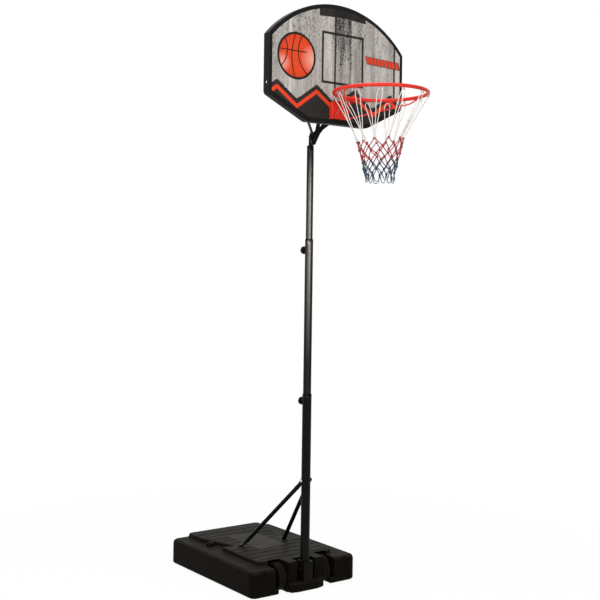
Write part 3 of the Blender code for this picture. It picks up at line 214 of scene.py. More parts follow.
def block(corner_a, corner_b):
    """Upright block between two corners."""
    (x0, y0, z0), (x1, y1, z1) = corner_a, corner_b
    flat = ((x0, y0), (x1, y0), (x1, y1), (x0, y1))
    return stack([(z0, flat), (z1, flat)])


def offset(outline, distance):
    """Move each side of an anticlockwise outline inwards."""
    moved = []
    count = len(outline)
    for k in range(count):
        before, here, after = (Vector(outline[(k + step) % count]) for step in (-1, 0, 1))
        first, second = (here - before).normalized(), (after - here).normalized()
        normal_a, normal_b = Vector((-first.y, first.x)), Vector((-second.y, second.x))
        bisector = (normal_a + normal_b).normalized()
        moved.append(tuple(here + bisector * (distance / max(bisector.dot(normal_a), 0.35))))
    return moved


def fillet(corners, steps=6):
    """Outline with round corners. Each corner holds x, y and its radius."""
    outline = []
    count = len(corners)
    for k in range(count):
        here = Vector(corners[k][:2])
        radius = corners[k][2]
        if radius <= 0:
            outline.append(tuple(here))
            continue
        to_before = (Vector(corners[k - 1][:2]) - here).normalized()
        to_after = (Vector(corners[(k + 1) % count][:2]) - here).normalized()
        half = math.acos(max(-1.0, min(1.0, to_before.dot(to_after)))) / 2
        centre = here + (to_before + to_after).normalized() * (radius / math.sin(half))
        first = here + to_before * (radius / math.tan(half)) - centre
        sweep_angle = (math.pi - 2 * half) * (1.0 if to_before.cross(to_after) < 0 else -1.0)
        for angle in span(0.0, sweep_angle, steps):
            turned_x = first.x * math.cos(angle) - first.y * math.sin(angle)
            turned_y = first.x * math.sin(angle) + first.y * math.cos(angle)
            outline.append((centre.x + turned_x, centre.y + turned_y))
    return outline


def smooth_path(points, steps):
    """Curve through the points, with the given steps between each two."""
    points = [Vector(p) for p in points]
    path = []
    last = len(points) - 1
    for k in range(last):
        a, b, c, d = (points[min(max(k + step, 0), last)] for step in (-1, 0, 1, 2))
        for t in span(0.0, 1.0, steps)[:-1]:
            path.append(0.5 * (2 * b + (c - a) * t + (2 * a - 5 * b + 4 * c - d) * t ** 2
                               + (3 * b - a - 3 * c + d) * t ** 3))
    path.append(points[last])
    return path


def sweep(shape, path, radius, count, slot=0, lengths=None):
    """Round cord or rod along a path; lengths takes the distance along it for the cord's weave."""
    side = axes_for(path[1] - path[0])[0]
    angles = [2 * math.pi * k / count for k in range(count)]
    loops = []
    for k, point in enumerate(path):
        along = (path[min(k + 1, len(path) - 1)] - path[max(k - 1, 0)]).normalized()
        side = (side - along * side.dot(along)).normalized()
        up = along.cross(side)
        loops.append([polar(point, side, up, radius, a) for a in angles])
    first = len(shape.faces)
    skin(shape, loops, slot=slot)
    if lengths is not None:
        lay_weave(shape, path, radius, count, first, lengths)
    return shape


def lay_weave(shape, path, radius, count, face, lengths):
    """Note at each corner of a cord's faces the turn round it and the distance along it."""
    shape.faces.ensure_lookup_table()
    run = 0.0
    for start, end in zip(path, path[1:]):
        step = (end - start).length
        for k in range(count):
            ends = ((k, run), (k + 1, run), (k + 1, run + step), (k, run + step))
            for corner, (around, along) in zip(shape.faces[face].loops, ends):
                corner[lengths].uv = (around / count, along / (2 * math.pi * radius))
            face += 1
        run += step


def refine(obj, *steps):
    """Run modifiers on an object and keep the result as its mesh."""
    for kind, settings in steps:
        step = obj.modifiers.new(kind.lower(), kind)
        for name, value in settings.items():
            setattr(step, name, value)
    graph = bpy.context.evaluated_depsgraph_get()
    result = bpy.data.meshes.new_from_object(obj.evaluated_get(graph))
    obj.modifiers.clear()
    old, obj.data = obj.data, result
    result.name = obj.name
    bpy.data.meshes.remove(old)


def raw_object(name, shape):
    """Plain object from a shape, with outward faces."""
    bmesh.ops.recalc_face_normals(shape, faces=shape.faces)
    mesh = bpy.data.meshes.new(name)
    shape.to_mesh(mesh)
    shape.free()
    obj = bpy.data.objects.new(name, mesh)
    bpy.context.scene.collection.objects.link(obj)
    return obj


def combine(obj, shape, operation="UNION"):
    """Boolean of an object and a shape."""
    tool = raw_object("tool", shape)
    refine(obj, ("BOOLEAN", {"object": tool, "operation": operation, "solver": "EXACT"}))
    bpy.data.objects.remove(tool, do_unlink=True)


def bore(obj, start, end, radius=HOLE_R, count=24):
    """Drill a round hole between two points."""
    start, end = Vector(start), Vector(end)
    drill = turned(((radius, 0.0), (radius, (end - start).length)), start, end - start, count)
    combine(obj, drill, "DIFFERENCE")


def finish_piece(obj, materials, slot, *nodes, sharp=35.0, bevel=0.0):
    """Soften and shade a piece, give it its material and body, and hide the nodes it stands for. The slot is
    not used.
    """
    if bevel:
        refine(obj, ("BEVEL", {"width": bevel, "segments": 2, "limit_method": "ANGLE",
                               "angle_limit": math.radians(30), "use_clamp_overlap": True,
                               "miter_outer": "MITER_ARC"}))
    shape = bmesh.new()
    shape.from_mesh(obj.data)
    for face in shape.faces:
        face.smooth = True
    for edge in shape.edges:
        edge.smooth = edge.calc_face_angle(0.0) < math.radians(sharp)
    shape.to_mesh(obj.data)
    shape.free()
    for material in materials if isinstance(materials, list) else [materials]:
        obj.data.materials.append(material)
    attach(obj, BODY_OF[nodes[0]])
    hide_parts(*nodes)


def piece(name, shape, *finish, **softness):
    """Object from a shape, finished at once."""
    finish_piece(raw_object(name, shape), *finish, **softness)


# Material helpers

def feed(tree, place, value):
    """Set an input to a constant, or link a field or a socket to it."""
    if isinstance(value, Field):
        value = value.socket
    if isinstance(value, bpy.types.NodeSocket):
        tree.links.new(value, place)
    else:
        place.default_value = value


def add_node(tree, kind, values, **options):
    """New shader node with its options set and its inputs fed."""
    node = tree.nodes.new("ShaderNode" + kind)
    for name, value in options.items():
        setattr(node, name, value)
    for place, value in values.items():
        feed(tree, node.inputs[place], value)
    return node


class Field:
    """A number that varies over a surface, worked out by Math nodes."""

    def __init__(self, tree, socket):
        self.tree = tree
        self.socket = socket

    def math(self, operation, *others, clamp=False):
        """Math node with this field as its first value."""
        values = dict(enumerate((self,) + others))
        node = add_node(self.tree, "Math", values, operation=operation, use_clamp=clamp)
        return Field(self.tree, node.outputs[0])

    def __add__(self, other):
        return self.math("ADD", other)

    def __sub__(self, other):
        return self.math("SUBTRACT", other)

    def __mul__(self, other):
        return self.math("MULTIPLY", other)

    def __abs__(self):
        return self.math("ABSOLUTE")

    def least(self, other):
        """The smaller of two."""
        return self.math("MINIMUM", other)

    def most(self, other):
        """The larger of two."""
        return self.math("MAXIMUM", other)

    def below(self, limit):
        """How far this lies below a limit."""
        return self * -1.0 + limit

    def inside(self, half):
        """How far this lies inside a band of that half width about zero."""
        return abs(self).below(half)

    def step(self, soft=0.0008):
        """0 below zero and 1 above, with a soft edge."""
        return (self * (1.0 / soft)).math("ADD", 0.5, clamp=True)

    def ramp(self, start, end, to_start=0.0, to_end=1.0):
        """Map a range to another, held at its ends."""
        node = add_node(self.tree, "MapRange", {
            "Value": self, "From Min": start, "From Max": end, "To Min": to_start, "To Max": to_end})
        return Field(self.tree, node.outputs[0])


def distance(across, up):
    """Length of a pair of fields."""
    return (across * across + up * up).math("SQRT")


class Finish:
    """A procedural material while its nodes are laid out."""

    def __init__(self, name, colour, roughness, metallic=0.0, specular=0.5):
        self.material = bpy.data.materials.new(name)
        self.material.use_nodes = True
        self.material.diffuse_color = (*colour, 1.0)
        self.tree = self.material.node_tree
        self.shader = self.tree.nodes["Principled BSDF"]
        self.put("Base Color", (*colour, 1.0))
        self.put("Roughness", roughness)
        self.put("Metallic", metallic)
        self.put("Specular IOR Level", specular)
        self.place = add_node(self.tree, "TexCoord", {}).outputs["Object"]

    def put(self, socket, value):
        """Set a constant on the shader, or link a field or a colour to it."""
        feed(self.tree, self.shader.inputs[socket], value)

    def axis(self, index, place=None):
        """One coordinate of the surface."""
        node = add_node(self.tree, "SeparateXYZ", {0: place or self.place})
        return Field(self.tree, node.outputs[index])

    def noise(self, scale, detail=4.0, roughness=0.55, stretch=(1, 1, 1), shift=(0, 0, 0), distortion=0.0):
        """Fractal noise, stretched and shifted."""
        mapping = add_node(self.tree, "Mapping", {"Vector": self.place, "Scale": stretch, "Location": shift})
        node = add_node(self.tree, "TexNoise", {
            "Vector": mapping.outputs[0], "Scale": scale, "Detail": detail, "Roughness": roughness,
            "Distortion": distortion})
        return Field(self.tree, node.outputs["Fac"])

    def cells(self, scale):
        """Distance to the nearest of many scattered points."""
        node = add_node(self.tree, "TexVoronoi", {"Vector": self.place, "Scale": scale})
        return Field(self.tree, node.outputs["Distance"])

    def edges(self):
        """1 on worn convex edges, 0 elsewhere."""
        node = add_node(self.tree, "NewGeometry", {})
        return Field(self.tree, node.outputs["Pointiness"]).ramp(0.53, 0.62)

    def upward(self):
        """How far the surface faces up."""
        node = add_node(self.tree, "NewGeometry", {})
        return self.axis(2, node.outputs["Normal"]).ramp(0.2, 1.0)

    def mix(self, first, second, share):
        """Colour between two colours; each may be a colour or a socket."""
        ends = [end if isinstance(end, bpy.types.NodeSocket) else (*end, 1.0) for end in (first, second)]
        node = add_node(self.tree, "Mix", {0: share, 6: ends[0], 7: ends[1]}, data_type="RGBA")
        return node.outputs[2]

    def bump(self, height, depth, strength=1.0):
        """Bump from a height field; depth is in metres."""
        node = add_node(self.tree, "Bump", {"Distance": depth, "Strength": strength, "Height": height})
        self.put("Normal", node.outputs[0])


def moulded_plastic(name, colour, roughness, dust_and_sheen=0.0, specular=0.03, grain=900.0):
    """Moulded plastic: fine grain, flow marks, scuffed edges, and on top a little dust with a painted sheen.
    """
    f = Finish(name, colour, roughness, specular=specular)
    flow = f.noise(9.0, 5.0, 0.6, (1, 1, 2.2))
    fine = f.noise(grain, 3.0, 0.6)
    light = tuple(min(1.0, c * 2.0 + 0.004) for c in colour)
    base = f.mix(colour, light, f.edges() * f.noise(60.0).ramp(0.4, 0.7) * 0.7)
    if dust_and_sheen:
        # Upward faces are lightened: partly dust, partly a painted sheen where the top catches the light.
        spots = f.noise(7.0, 6.0, 0.6).ramp(0.30, 0.75, 0.6, 1.0)
        base = f.mix(base, (0.115, 0.108, 0.096), f.upward() * spots * deck_dust_and_sheen(f) * dust_and_sheen)
    f.put("Base Color", base)
    f.put("Roughness", flow.ramp(0.3, 0.7, roughness - 0.06, roughness + 0.08) + fine * 0.05)
    f.bump(fine * 0.6 + f.cells(grain * 0.55) * 0.5 + f.noise(70.0) * 0.4, 0.00020, 0.5)
    return f.material


DECK_EDGE_Z = 0.1215
PAD_HALF_X = 0.075
PAD_Y, PAD_HALF_Y = 0.3715, 0.1335
# Groove lines on the tank's top, painted darker as shade in the grooves
LINE_START, LINE_STEP = 0.089, 0.025


def deck_dust_and_sheen(f):
    """How much dust and painted sheen shows on the tank's top: more on the smooth pad, less on the ledge, and
    less along the groove lines, which paints shade into the grooves.
    """
    x, y, z = f.axis(0), f.axis(1), f.axis(2)
    deck = (z - DECK_EDGE_Z).step(0.004)
    pad = x.inside(PAD_HALF_X).least((y - PAD_Y).inside(PAD_HALF_Y)).step(0.003)
    # Painted shade along the groove lines: less lightening there
    line = abs(((y - LINE_START) * (1.0 / LINE_STEP) + 0.5).math("FRACT") - 0.5).ramp(0.08, 0.20, 0.25, 1.0)
    ledge = deck.below(1.0) * 0.09
    return (line.most(pad) * (pad * 0.85 + 1.0) * 0.19).most(ledge).least(deck * 2.0 + 0.09)


def slide_polish(f):
    """How far the upper tubes are polished: most where they slide, less towards the ends."""
    z = f.axis(2)
    low_start, low_end, high_start, high_end = POLISHED
    return z.ramp(low_start, low_end, 0.06, 1.0).least(z.ramp(high_start, high_end, 1.0, 0.10))


def powder_coat(name, colour, roughness, specular=0.05, wear=(0.07, 0.066, 0.06), polish=0.0):
    """Baked paint on steel: orange-peel surface, slight sheen changes and rubbed edges."""
    f = Finish(name, colour, roughness, specular=specular)
    if polish:
        facing = Field(f.tree, add_node(f.tree, "LayerWeight", {}).outputs["Facing"])
        f.put("Specular IOR Level", facing.ramp(0.0, 0.24, polish, 0.0) * slide_polish(f) + specular)
        f.put("Specular Tint", (1.0, 0.93, 0.86, 1.0))
        f.put("IOR", 1.9)
    peel = f.noise(420.0, 2.0, 0.5)
    slow = f.noise(14.0, 4.0)
    rubbed = (f.edges() * f.noise(180.0, 5.0, 0.7).ramp(0.52, 0.66)) * 0.25
    shaded = f.mix(colour, tuple(c * 0.78 for c in colour), slow.ramp(0.35, 0.7))
    f.put("Base Color", f.mix(shaded, wear, rubbed))
    f.put("Roughness", slow.ramp(0.3, 0.7, roughness - 0.05, roughness + 0.06) + peel * 0.04)
    f.put("Coat Weight", 0.015)
    f.put("Coat Roughness", 0.15)
    f.bump(peel + f.noise(1600.0, 2.0) * 0.25, 0.00012, 0.5)
    return f.material


def red_coat(name, colours, roughness):
    """Red paint of the rim, with pale rubbed edges."""
    return powder_coat(name, colours.rim, roughness, specular=0.16, wear=(0.30, 0.08, 0.05))


def zinc_plate(name):
    """Bright zinc-plated steel with a cloudy, slightly warm film."""
    f = Finish(name, (0.55, 0.54, 0.51), 0.30, metallic=1.0)
    cloud = f.noise(160.0, 5.0, 0.6)
    f.put("Base Color", f.mix((0.46, 0.45, 0.42), (0.66, 0.66, 0.64), cloud.ramp(0.3, 0.7)))
    f.put("Roughness", cloud.ramp(0.3, 0.7, 0.24, 0.42))
    f.bump(f.noise(900.0, 3.0), 0.00006, 0.5)
    return f.material


def braided_cord(name, colour, dark):
    """Braided cord: two sets of strands that cross, painted shade in the hollows between them, fuzz and
    slight random soiling.
    """
    f = Finish(name, colour, 0.85, specular=0.25)
    uv = add_node(f.tree, "TexCoord", {}).outputs["UV"]
    around, along = f.axis(0, uv) * 4.0, f.axis(1, uv) * 3.0
    one = (around + along).math("FRACT") - 0.5
    two = (around - along).math("FRACT") - 0.5
    strands = abs(one).least(abs(two)).ramp(0.0, 0.32)
    fuzz = f.noise(2600.0, 3.0, 0.7)
    soil = f.noise(45.0, 5.0).ramp(0.35, 0.75)
    # The dark colour is painted shade in the hollows between strands; soil darkens at random
    f.put("Base Color", f.mix(dark, colour, (strands * 0.55 + 0.45) * (soil * -0.18 + 1.0)))
    f.put("Roughness", fuzz.ramp(0.3, 0.7, 0.78, 0.95))
    f.put("Sheen Weight", 0.25)
    f.put("Sheen Roughness", 0.5)
    f.bump(strands + fuzz * 0.35, 0.0004, 0.7)
    return f.material


# Print of the board

# Place and change of tone from plank to plank
PLANK_STEPS = (
    (-0.258, 0.20), (-0.244, -0.19), (-0.146, -0.04), (-0.020, -0.03), (0.066, 0.17), (0.080, -0.11),
    (0.188, 0.03), (0.307, 0.05),
)
# Place and half width of the dark gaps
PLANK_GAPS = ((-0.020, 0.0048), (0.307, 0.0052))
TARGET_X, TARGET_Z = 0.021, 0.2745
TARGET_HALF_X, TARGET_HALF_Z = 0.1120, 0.1080
TARGET_LINE = 0.0105
BALL_X, BALL_Z = -0.219, 0.260
BALL_R, BALL_FACE_R = 0.0965, 0.0868
SEAM_HALF = 0.0027
# Centre and radius of the ball's curved seams
SEAM_ARCS = ((-0.140, 0.093), (0.118, 0.110))
TOP_TAB_X, TOP_TAB_HALF, TOP_TAB_Z = 0.019, 0.124, 0.449
ZIGZAG_LOW, ZIGZAG_RISE, ZIGZAG_HALF = 0.046, 0.070, 0.0095
BARS_X, BARS_Z = 0.239, 0.288
BAR_STEP = 0.0205


def plank_print(f, x, z, specks, colours):
    """Planks with their own tones, two dark gaps, long grain and dark specks."""
    tone = f.noise(1.0, 1.0, 0.5, (14, 1, 0.6)) * 0.20 + 0.310
    for place, change in PLANK_STEPS:
        tone = tone + (x - place).step(0.004) * change
    wander = (f.noise(1.0, 2.0, 0.5, (1, 1, 9)) - 0.5) * 0.003
    first, second = ((x + wander - place).inside(half).step(0.0016) for place, half in PLANK_GAPS)
    grain = f.noise(1.0, 7.0, 0.68, (150, 1, 9), distortion=0.6)
    streak = f.noise(1.0, 3.0, 0.5, (30, 1, 1.6), (7, 0, 0))
    blots = f.noise(30.0, 6.0, 0.72, (1.5, 1, 0.8), (3, 0, 1))
    dirty = abs(x - 0.028).ramp(0.045, 0.030) * z.ramp(0.20, 0.40, 0.1, 0.75)
    dirty = z.ramp(0.18, 0.46, 0.25, 0.85) + dirty
    tone = tone + (grain - 0.5) * 0.44 + (streak - 0.5) * 0.62
    tone = tone - (specks.ramp(0.50, 0.62) * blots.ramp(0.38, 0.60, 0.35, 1.0)) * dirty * 0.42
    under_tab = abs(x - 0.024).ramp(0.047, 0.036) * z.ramp(0.24, 0.42)
    tone = tone - under_tab * (specks * 0.25 + 0.05) - blots.ramp(0.52, 0.68) * dirty * 0.22
    tone = tone + specks.ramp(0.46, 0.34) * 0.10
    picture = f.mix(colours.plank_dark, colours.plank_light, tone.ramp(0.0, 0.80))
    return f.mix(picture, colours.ink, first.most(second) * 0.92)


def target_print(f, x, z, picture, colours):
    """Target, a plain frame."""
    outer = (x - TARGET_X).inside(TARGET_HALF_X).least((z - TARGET_Z).inside(TARGET_HALF_Z))
    return f.mix(picture, colours.ink, outer.step().least(outer.below(TARGET_LINE).step()) * 0.97)


def ball_print(f, x, z, picture, colours):
    """Ball with a thick outline, its seams and a soft glow on both sides."""
    bx, bz = x - BALL_X, z - BALL_Z
    far = distance(bx, bz)
    rind = f.mix(colours.ball_dark, colours.ball, far.ramp(0.092, 0.060, 0.5, 1.0))
    right_glow = distance(bx - 0.088, bz + 0.006).ramp(0.068, 0.010) * 0.80
    left_glow = distance(bx + 0.074, bz + 0.036).ramp(0.046, 0.006) * 0.75
    rind = f.mix(rind, colours.ball_glow, right_glow.most(left_glow))
    seam = (bx + 0.024 - bz * bz * 2.2).inside(SEAM_HALF).step()
    seam = seam.most((bz - 0.020).inside(0.0024).step() * bx.below(0.052).step(0.010))
    for centre, reach in SEAM_ARCS:
        seam = seam.most((distance(bx - centre, bz - 0.020) - reach).inside(SEAM_HALF).step())
    rind = f.mix(rind, colours.ink, seam * 0.92)
    picture = f.mix(picture, colours.ink, far.below(BALL_R).step())
    return f.mix(picture, rind, far.below(BALL_FACE_R).step())


def zigzag_print(f, x, z, picture, colours):
    """Dark tab along the top and dark ground along the bottom, with a regular zigzag."""
    across = x - TOP_TAB_X
    tab = across.inside(TOP_TAB_HALF).least(z + abs(across) * 0.06 - TOP_TAB_Z).step(0.001)
    crest = (x * 10.0 + 0.15).math("PINGPONG", 1.0) * ZIGZAG_RISE + ZIGZAG_LOW
    rough_edge = (f.noise(90.0, 5.0, 0.7) - 0.5) * 0.016
    ground = (crest + 0.040 + rough_edge - z).step(0.0012)
    picture = f.mix(picture, colours.ink, tab.most(ground) * 0.97)
    return f.mix(picture, colours.stripe, (z - crest - 0.010).inside(ZIGZAG_HALF).step())


def bars_print(f, x, z, picture, colours):
    """Row of slanted bars on a dark ground."""
    slant = x + (z - BARS_Z) * 0.30
    tilt = z + (x - BARS_X) * 0.03 - BARS_Z
    bar = ((slant * (1.0 / BAR_STEP)).math("FRACT") - 0.30).step(0.06)
    place = (slant - BARS_X).inside(0.088).least(tilt.inside(0.0135)).step()
    shade = (slant - (BARS_X + 0.002)).inside(0.094).least((tilt + 0.001).inside(0.0170)).step()
    picture = f.mix(picture, colours.stripe_dark, shade * 0.85)
    return f.mix(picture, colours.stripe, place * bar)


def printed_sheet(name, colours):
    """Printed front of the board: grey weathered planks, a target, a ball, a zigzag and bars."""
    f = Finish(name, (0.30, 0.29, 0.28), 0.42, specular=0.07)
    x, z = f.axis(0), f.axis(2) - BOARD_LOW
    specks = f.noise(125.0, 4.0, 0.66, (1.25, 1, 0.9))
    picture = plank_print(f, x, z, specks, colours)
    for add_print in (target_print, ball_print, zigzag_print, bars_print):
        picture = add_print(f, x, z, picture, colours)
    f.put("Base Color", picture)
    f.put("Roughness", f.noise(30.0, 5.0).ramp(0.3, 0.7, 0.36, 0.48) + specks * 0.04)
    f.bump(f.noise(700.0, 2.0), 0.00005, 0.4)
    return f.material


# Settings

def length(name, value, description):
    """Property for a length."""
    return FloatProperty(name=name, description=description, default=value, min=0.0, unit="LENGTH",
                         subtype="DISTANCE", precision=5)


def paint(name, value, description):
    """Property for a colour."""
    return FloatVectorProperty(name=name, description=description, default=value, min=0.0, max=1.0, size=3,
                               subtype="COLOR")


def power(name, value, description):
    """Property for the power of a lamp."""
    return FloatProperty(name=name, description=description, default=value, subtype="POWER", unit="POWER")


class StandSizes(bpy.types.PropertyGroup):
    """Sizes of the stand's finer forms."""
    voxel: length("Tank detail", 0.0023, "Grid step of the moulded tank's skin")
    cord_radius: length("Cord radius", 0.0017, "Radius of the net's white cord")
    knot_cord: length("Coloured cord radius", 0.0020, "Radius of the net's red and blue cord")
    loop_half: length("Loop half width", 0.0105, "Half the distance between the legs of a loop")
    sag: length("Cord slack", 0.0022, "How far a cord bows out between its knots")
    edge: length("Edge rounding", 0.0005, "Rounding of sheet metal edges")
    sides: IntProperty(name="Round sides", description="Sides of the round pieces", default=64, min=12)


class StandColours(bpy.types.PropertyGroup):
    """Colours of the stand."""
    tank: paint("Tank", (0.0040, 0.0031, 0.0020), "Moulded tank")
    trim: paint("Trim", (0.0045, 0.0039, 0.0032), "Knobs, bushes, wheels and plug")
    pole: paint("Pole", (0.0030, 0.0026, 0.0020), "Paint of the pole")
    frame: paint("Frame", (0.0030, 0.0026, 0.0021), "Paint of the braces, arms and sleeve")
    rim: paint("Rim", (0.62, 0.026, 0.013), "Paint of the ring and its bracket")
    board: paint("Board", (0.0072, 0.0066, 0.0060), "Moulded board")
    plank_light: paint("Light plank", (0.63, 0.61, 0.59), "Light wood of the print")
    plank_dark: paint("Dark plank", (0.022, 0.020, 0.019), "Dark wood of the print")
    ink: paint("Ink", (0.012, 0.011, 0.011), "Black of the print")
    ball: paint("Ball", (0.58, 0.058, 0.018), "Ball of the print")
    ball_dark: paint("Ball edge", (0.44, 0.026, 0.010), "Edge of the ball")
    ball_glow: paint("Ball glow", (0.74, 0.38, 0.31), "Glow on the ball")
    stripe: paint("Stripe", (0.62, 0.050, 0.018), "Red stripes of the print")
    stripe_dark: paint("Stripe shade", (0.10, 0.012, 0.008), "Ground of the slanted bars")
    cord_white: paint("White cord", (0.72, 0.70, 0.68), "Upper part of the net")
    cord_red: paint("Red cord", (0.36, 0.018, 0.024), "Middle part of the net")
    cord_blue: paint("Blue cord", (0.030, 0.060, 0.115), "Lower part of the net")
    cord_pale: paint("Pale cord", (0.30, 0.36, 0.46), "Ends of the net's open loops")


class StandStudio(bpy.types.PropertyGroup):
    """Camera, lamps and floor."""
    lens: FloatProperty(name="Lens", description="Focal length", default=62.31, unit="CAMERA")
    shift: FloatProperty(name="Shift", description="Vertical shift of the picture", default=-0.0482,
                         precision=4)
    roll: FloatProperty(name="Roll", description="Turn of the camera about its view",
                        default=math.radians(0.79), subtype="ANGLE", unit="ROTATION")
    place: FloatVectorProperty(name="Camera", description="Place of the camera",
                               default=(-2.699, -3.601, 1.3757), subtype="TRANSLATION", unit="LENGTH",
                               size=3, precision=4)
    key: power("Key lamp", 140.0, "Power of the large soft lamp")
    front: power("Front lamp", 75.0, "Power of the lamp over the camera")
    top: power("Top lamp", 70.0, "Power of the lamp over the stand")
    fill: FloatProperty(name="Surroundings", description="Strength of the surroundings' soft light",
                        default=0.45)
    floor: paint("Floor", (0.86, 0.86, 0.86), "Floor")


# Tank, wheels and plug

TANK_WALL = 0.005
# Ends in x, y and z: under the ledges, under the deck and in the front blocks
HOLLOWS = (
    (0.0, TANK_HALF - TANK_WALL, HOLLOW_FRONT, TANK_BACK - TANK_WALL, 0.0055, 0.1066),
    (0.0, 0.0965, HOLLOW_FRONT, TANK_BACK - 0.030, 0.080, 0.1228),
    (0.1635, TANK_HALF - 0.013, TANK_FRONT + 0.0115, 0.160, 0.0095, 0.0985),
)


def in_hollow(face):
    """True for a face of the tank's hollow, which its skin leaves out."""
    centre = face.calc_center_median()
    x, y, z = abs(centre.x), centre.y, centre.z
    near_side = x > TANK_HALF - 0.020 or y > TANK_BACK - 0.020
    if near_side and face.normal.dot(Vector((centre.x, y - 0.4, 0.0))) > 0:
        return False
    return any(x0 <= x < x1 and y0 < y < y1 and z0 < z < z1 for x0, x1, y0, y1, z0, z1 in HOLLOWS)


def make_tank(sizes, colours):
    """Blow-moulded tank with soft edges, from a refined copy of its outer skin."""
    shape = bmesh.new()
    shape.from_mesh(frame["nodes"]["base_tank"].data)
    bmesh.ops.remove_doubles(shape, verts=shape.verts, dist=0.00002)
    hidden = [face for face in shape.faces if in_hollow(face)]
    bmesh.ops.delete(shape, geom=hidden, context="FACES")
    bmesh.ops.holes_fill(shape, edges=[edge for edge in shape.edges if edge.is_boundary], sides=0)
    bmesh.ops.triangulate(shape, faces=shape.faces)
    tank = raw_object("tank_skin", shape)
    refine(tank, ("REMESH", {"mode": "VOXEL", "voxel_size": sizes.voxel, "use_smooth_shade": True}),
           ("SMOOTH", {"factor": 0.5, "iterations": 3}))
    refine(tank, ("DECIMATE", {"ratio": 0.40}))
    # The tank's top gets dust and a painted sheen.
    finish = moulded_plastic("blow_moulded_black", colours.tank, 0.46, dust_and_sheen=1.0, specular=0.018)
    finish_piece(tank, finish, "tank_plastic", "base_tank", sharp=80)


def wheel_profile(hub_in, hub_out, r):
    """Section of a wheel: hub, dished sides and a tread with two grooves."""
    inner = hub_in + HUB_PROUD
    outer = inner + TREAD_WIDTH
    mid = (inner + outer) / 2
    dish = r - 0.015
    inside = [(0.0055, hub_in), (0.011, hub_in), (0.012, inner + 0.005), (dish - 0.002, inner + 0.006),
              (dish + 0.001, inner + 0.002), (dish + 0.003, inner), (r - 0.006, inner),
              (r - 0.002, inner + 0.002), (r, inner + 0.006)]
    tread = [(r, mid - 0.007), (r - 0.002, mid - 0.006), (r - 0.002, mid - 0.004), (r, mid - 0.003),
             (r, mid + 0.003), (r - 0.002, mid + 0.004), (r - 0.002, mid + 0.006), (r, mid + 0.007)]
    outside = [(r, outer - 0.006), (r - 0.002, outer - 0.002), (r - 0.006, outer), (dish + 0.003, outer),
               (dish + 0.001, outer - 0.002), (dish - 0.002, outer - 0.010), (0.015, outer - 0.010),
               (0.013, outer - 0.008), (0.011, hub_out), (0.0055, hub_out)]
    return inside + tread + outside


def make_wheels(sizes, colours):
    """Two wheels with a grooved tread and a dished side, and their axle."""
    finish = moulded_plastic("wheel_black", colours.trim, 0.50)
    for hand, side in SIDES.items():
        name = "wheel_" + hand
        lower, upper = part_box(name)
        hub_in, hub_out = sorted((abs(lower.x), abs(upper.x)))
        profile = wheel_profile(hub_in, hub_out, (upper.z - lower.z) / 2)
        centre = Vector((0, middle(name).y, middle(name).z))
        shape = turned(profile, centre, (side, 0, 0), 96, ring=True)
        piece(name + "_moulded", shape, finish, "wheel_plastic", name, bevel=0.0006)
    lower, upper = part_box("axle")
    r = (upper.z - lower.z) / 2
    total = upper.x - lower.x
    profile = ((r - 0.001, 0.0), (r, 0.001), (r, total - 0.001), (r - 0.001, total))
    shape = turned(profile, (lower.x, middle("axle").y, middle("axle").z), X_AXIS, 32)
    piece("axle_rod", shape, zinc_plate("axle_zinc"), "zinc_steel", "axle", bevel=0.0003)


def make_plug(sizes, colours):
    """Domed filler plug with a finger-gripped rim."""
    lower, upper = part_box("filler_plug")
    x, y = middle("filler_plug").x, middle("filler_plug").y
    r = (upper.x - lower.x) / 2
    height = upper.z - (lower.z + PLUG_STEM_LENGTH)
    seat = upper.z - height + GAP
    stem = [(PLUG_STEM_R - 0.0015, lower.z), (PLUG_STEM_R, lower.z + 0.002), (PLUG_STEM_R, seat)]
    plug = raw_object("filler_plug_cap", turned(stem, (x, y, 0), Z_AXIS, 48))

    def grips(angle):
        """Share of the radius at an angle, with twenty grips."""
        return 1.0 - 0.035 * (0.5 - 0.5 * math.cos(20 * angle)) ** 2

    rows = [(r * 0.97, 0.0), (r, 0.0012), (r, height * 0.40), (r * 0.985, height * 0.50)]
    dome = [(r * 0.93, height * 0.62), (r * 0.84, height * 0.76), (r * 0.70, height * 0.88),
            (r * 0.50, height * 0.955), (r * 0.25, height * 0.99)]
    loops = [circle((x, y, seat + t), Z_AXIS, radius, 160, grips) for radius, t in rows]
    loops += [circle((x, y, seat + t), Z_AXIS, radius, 160) for radius, t in dome]
    combine(plug, skin(bmesh.new(), loops))
    finish_piece(plug, moulded_plastic("plug_black", colours.trim, 0.40), "plug_plastic", "filler_plug")


# Pole

def make_sleeve(sizes, colours):
    """Square sleeve that holds the pole's foot."""
    lower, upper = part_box("foot_sleeve")
    x, corner_r, edge = upper.x, 0.005, 0.0012
    square = fillet([(-x, lower.y, corner_r), (x, lower.y, corner_r), (x, upper.y, corner_r),
                     (-x, upper.y, corner_r)], 12)
    bore_r = TUBE_R["pole_lower"] + GAP
    inner = [tuple(Vector(p).normalized() * bore_r) for p in square]
    rim_inner = [tuple(Vector(p).normalized() * (bore_r + edge * 0.6)) for p in square]
    floor_z = lower.z + SLEEVE_FLOOR
    sleeve = raw_object("foot_socket", stack([
        (lower.z, offset(square, edge)), (lower.z + edge, square), (upper.z - edge, square),
        (upper.z - edge * 0.3, offset(square, edge * 0.3)), (upper.z, offset(square, edge)),
        (upper.z, rim_inner), (upper.z - edge * 0.6, inner), (floor_z, inner),
    ]))
    bore(sleeve, (0, 0, lower.z - 0.01), (0, 0, floor_z + 0.01))
    finish = powder_coat("frame_coat", colours.frame, 0.36)
    finish_piece(sleeve, finish, "frame_paint", "foot_sleeve", sharp=40)


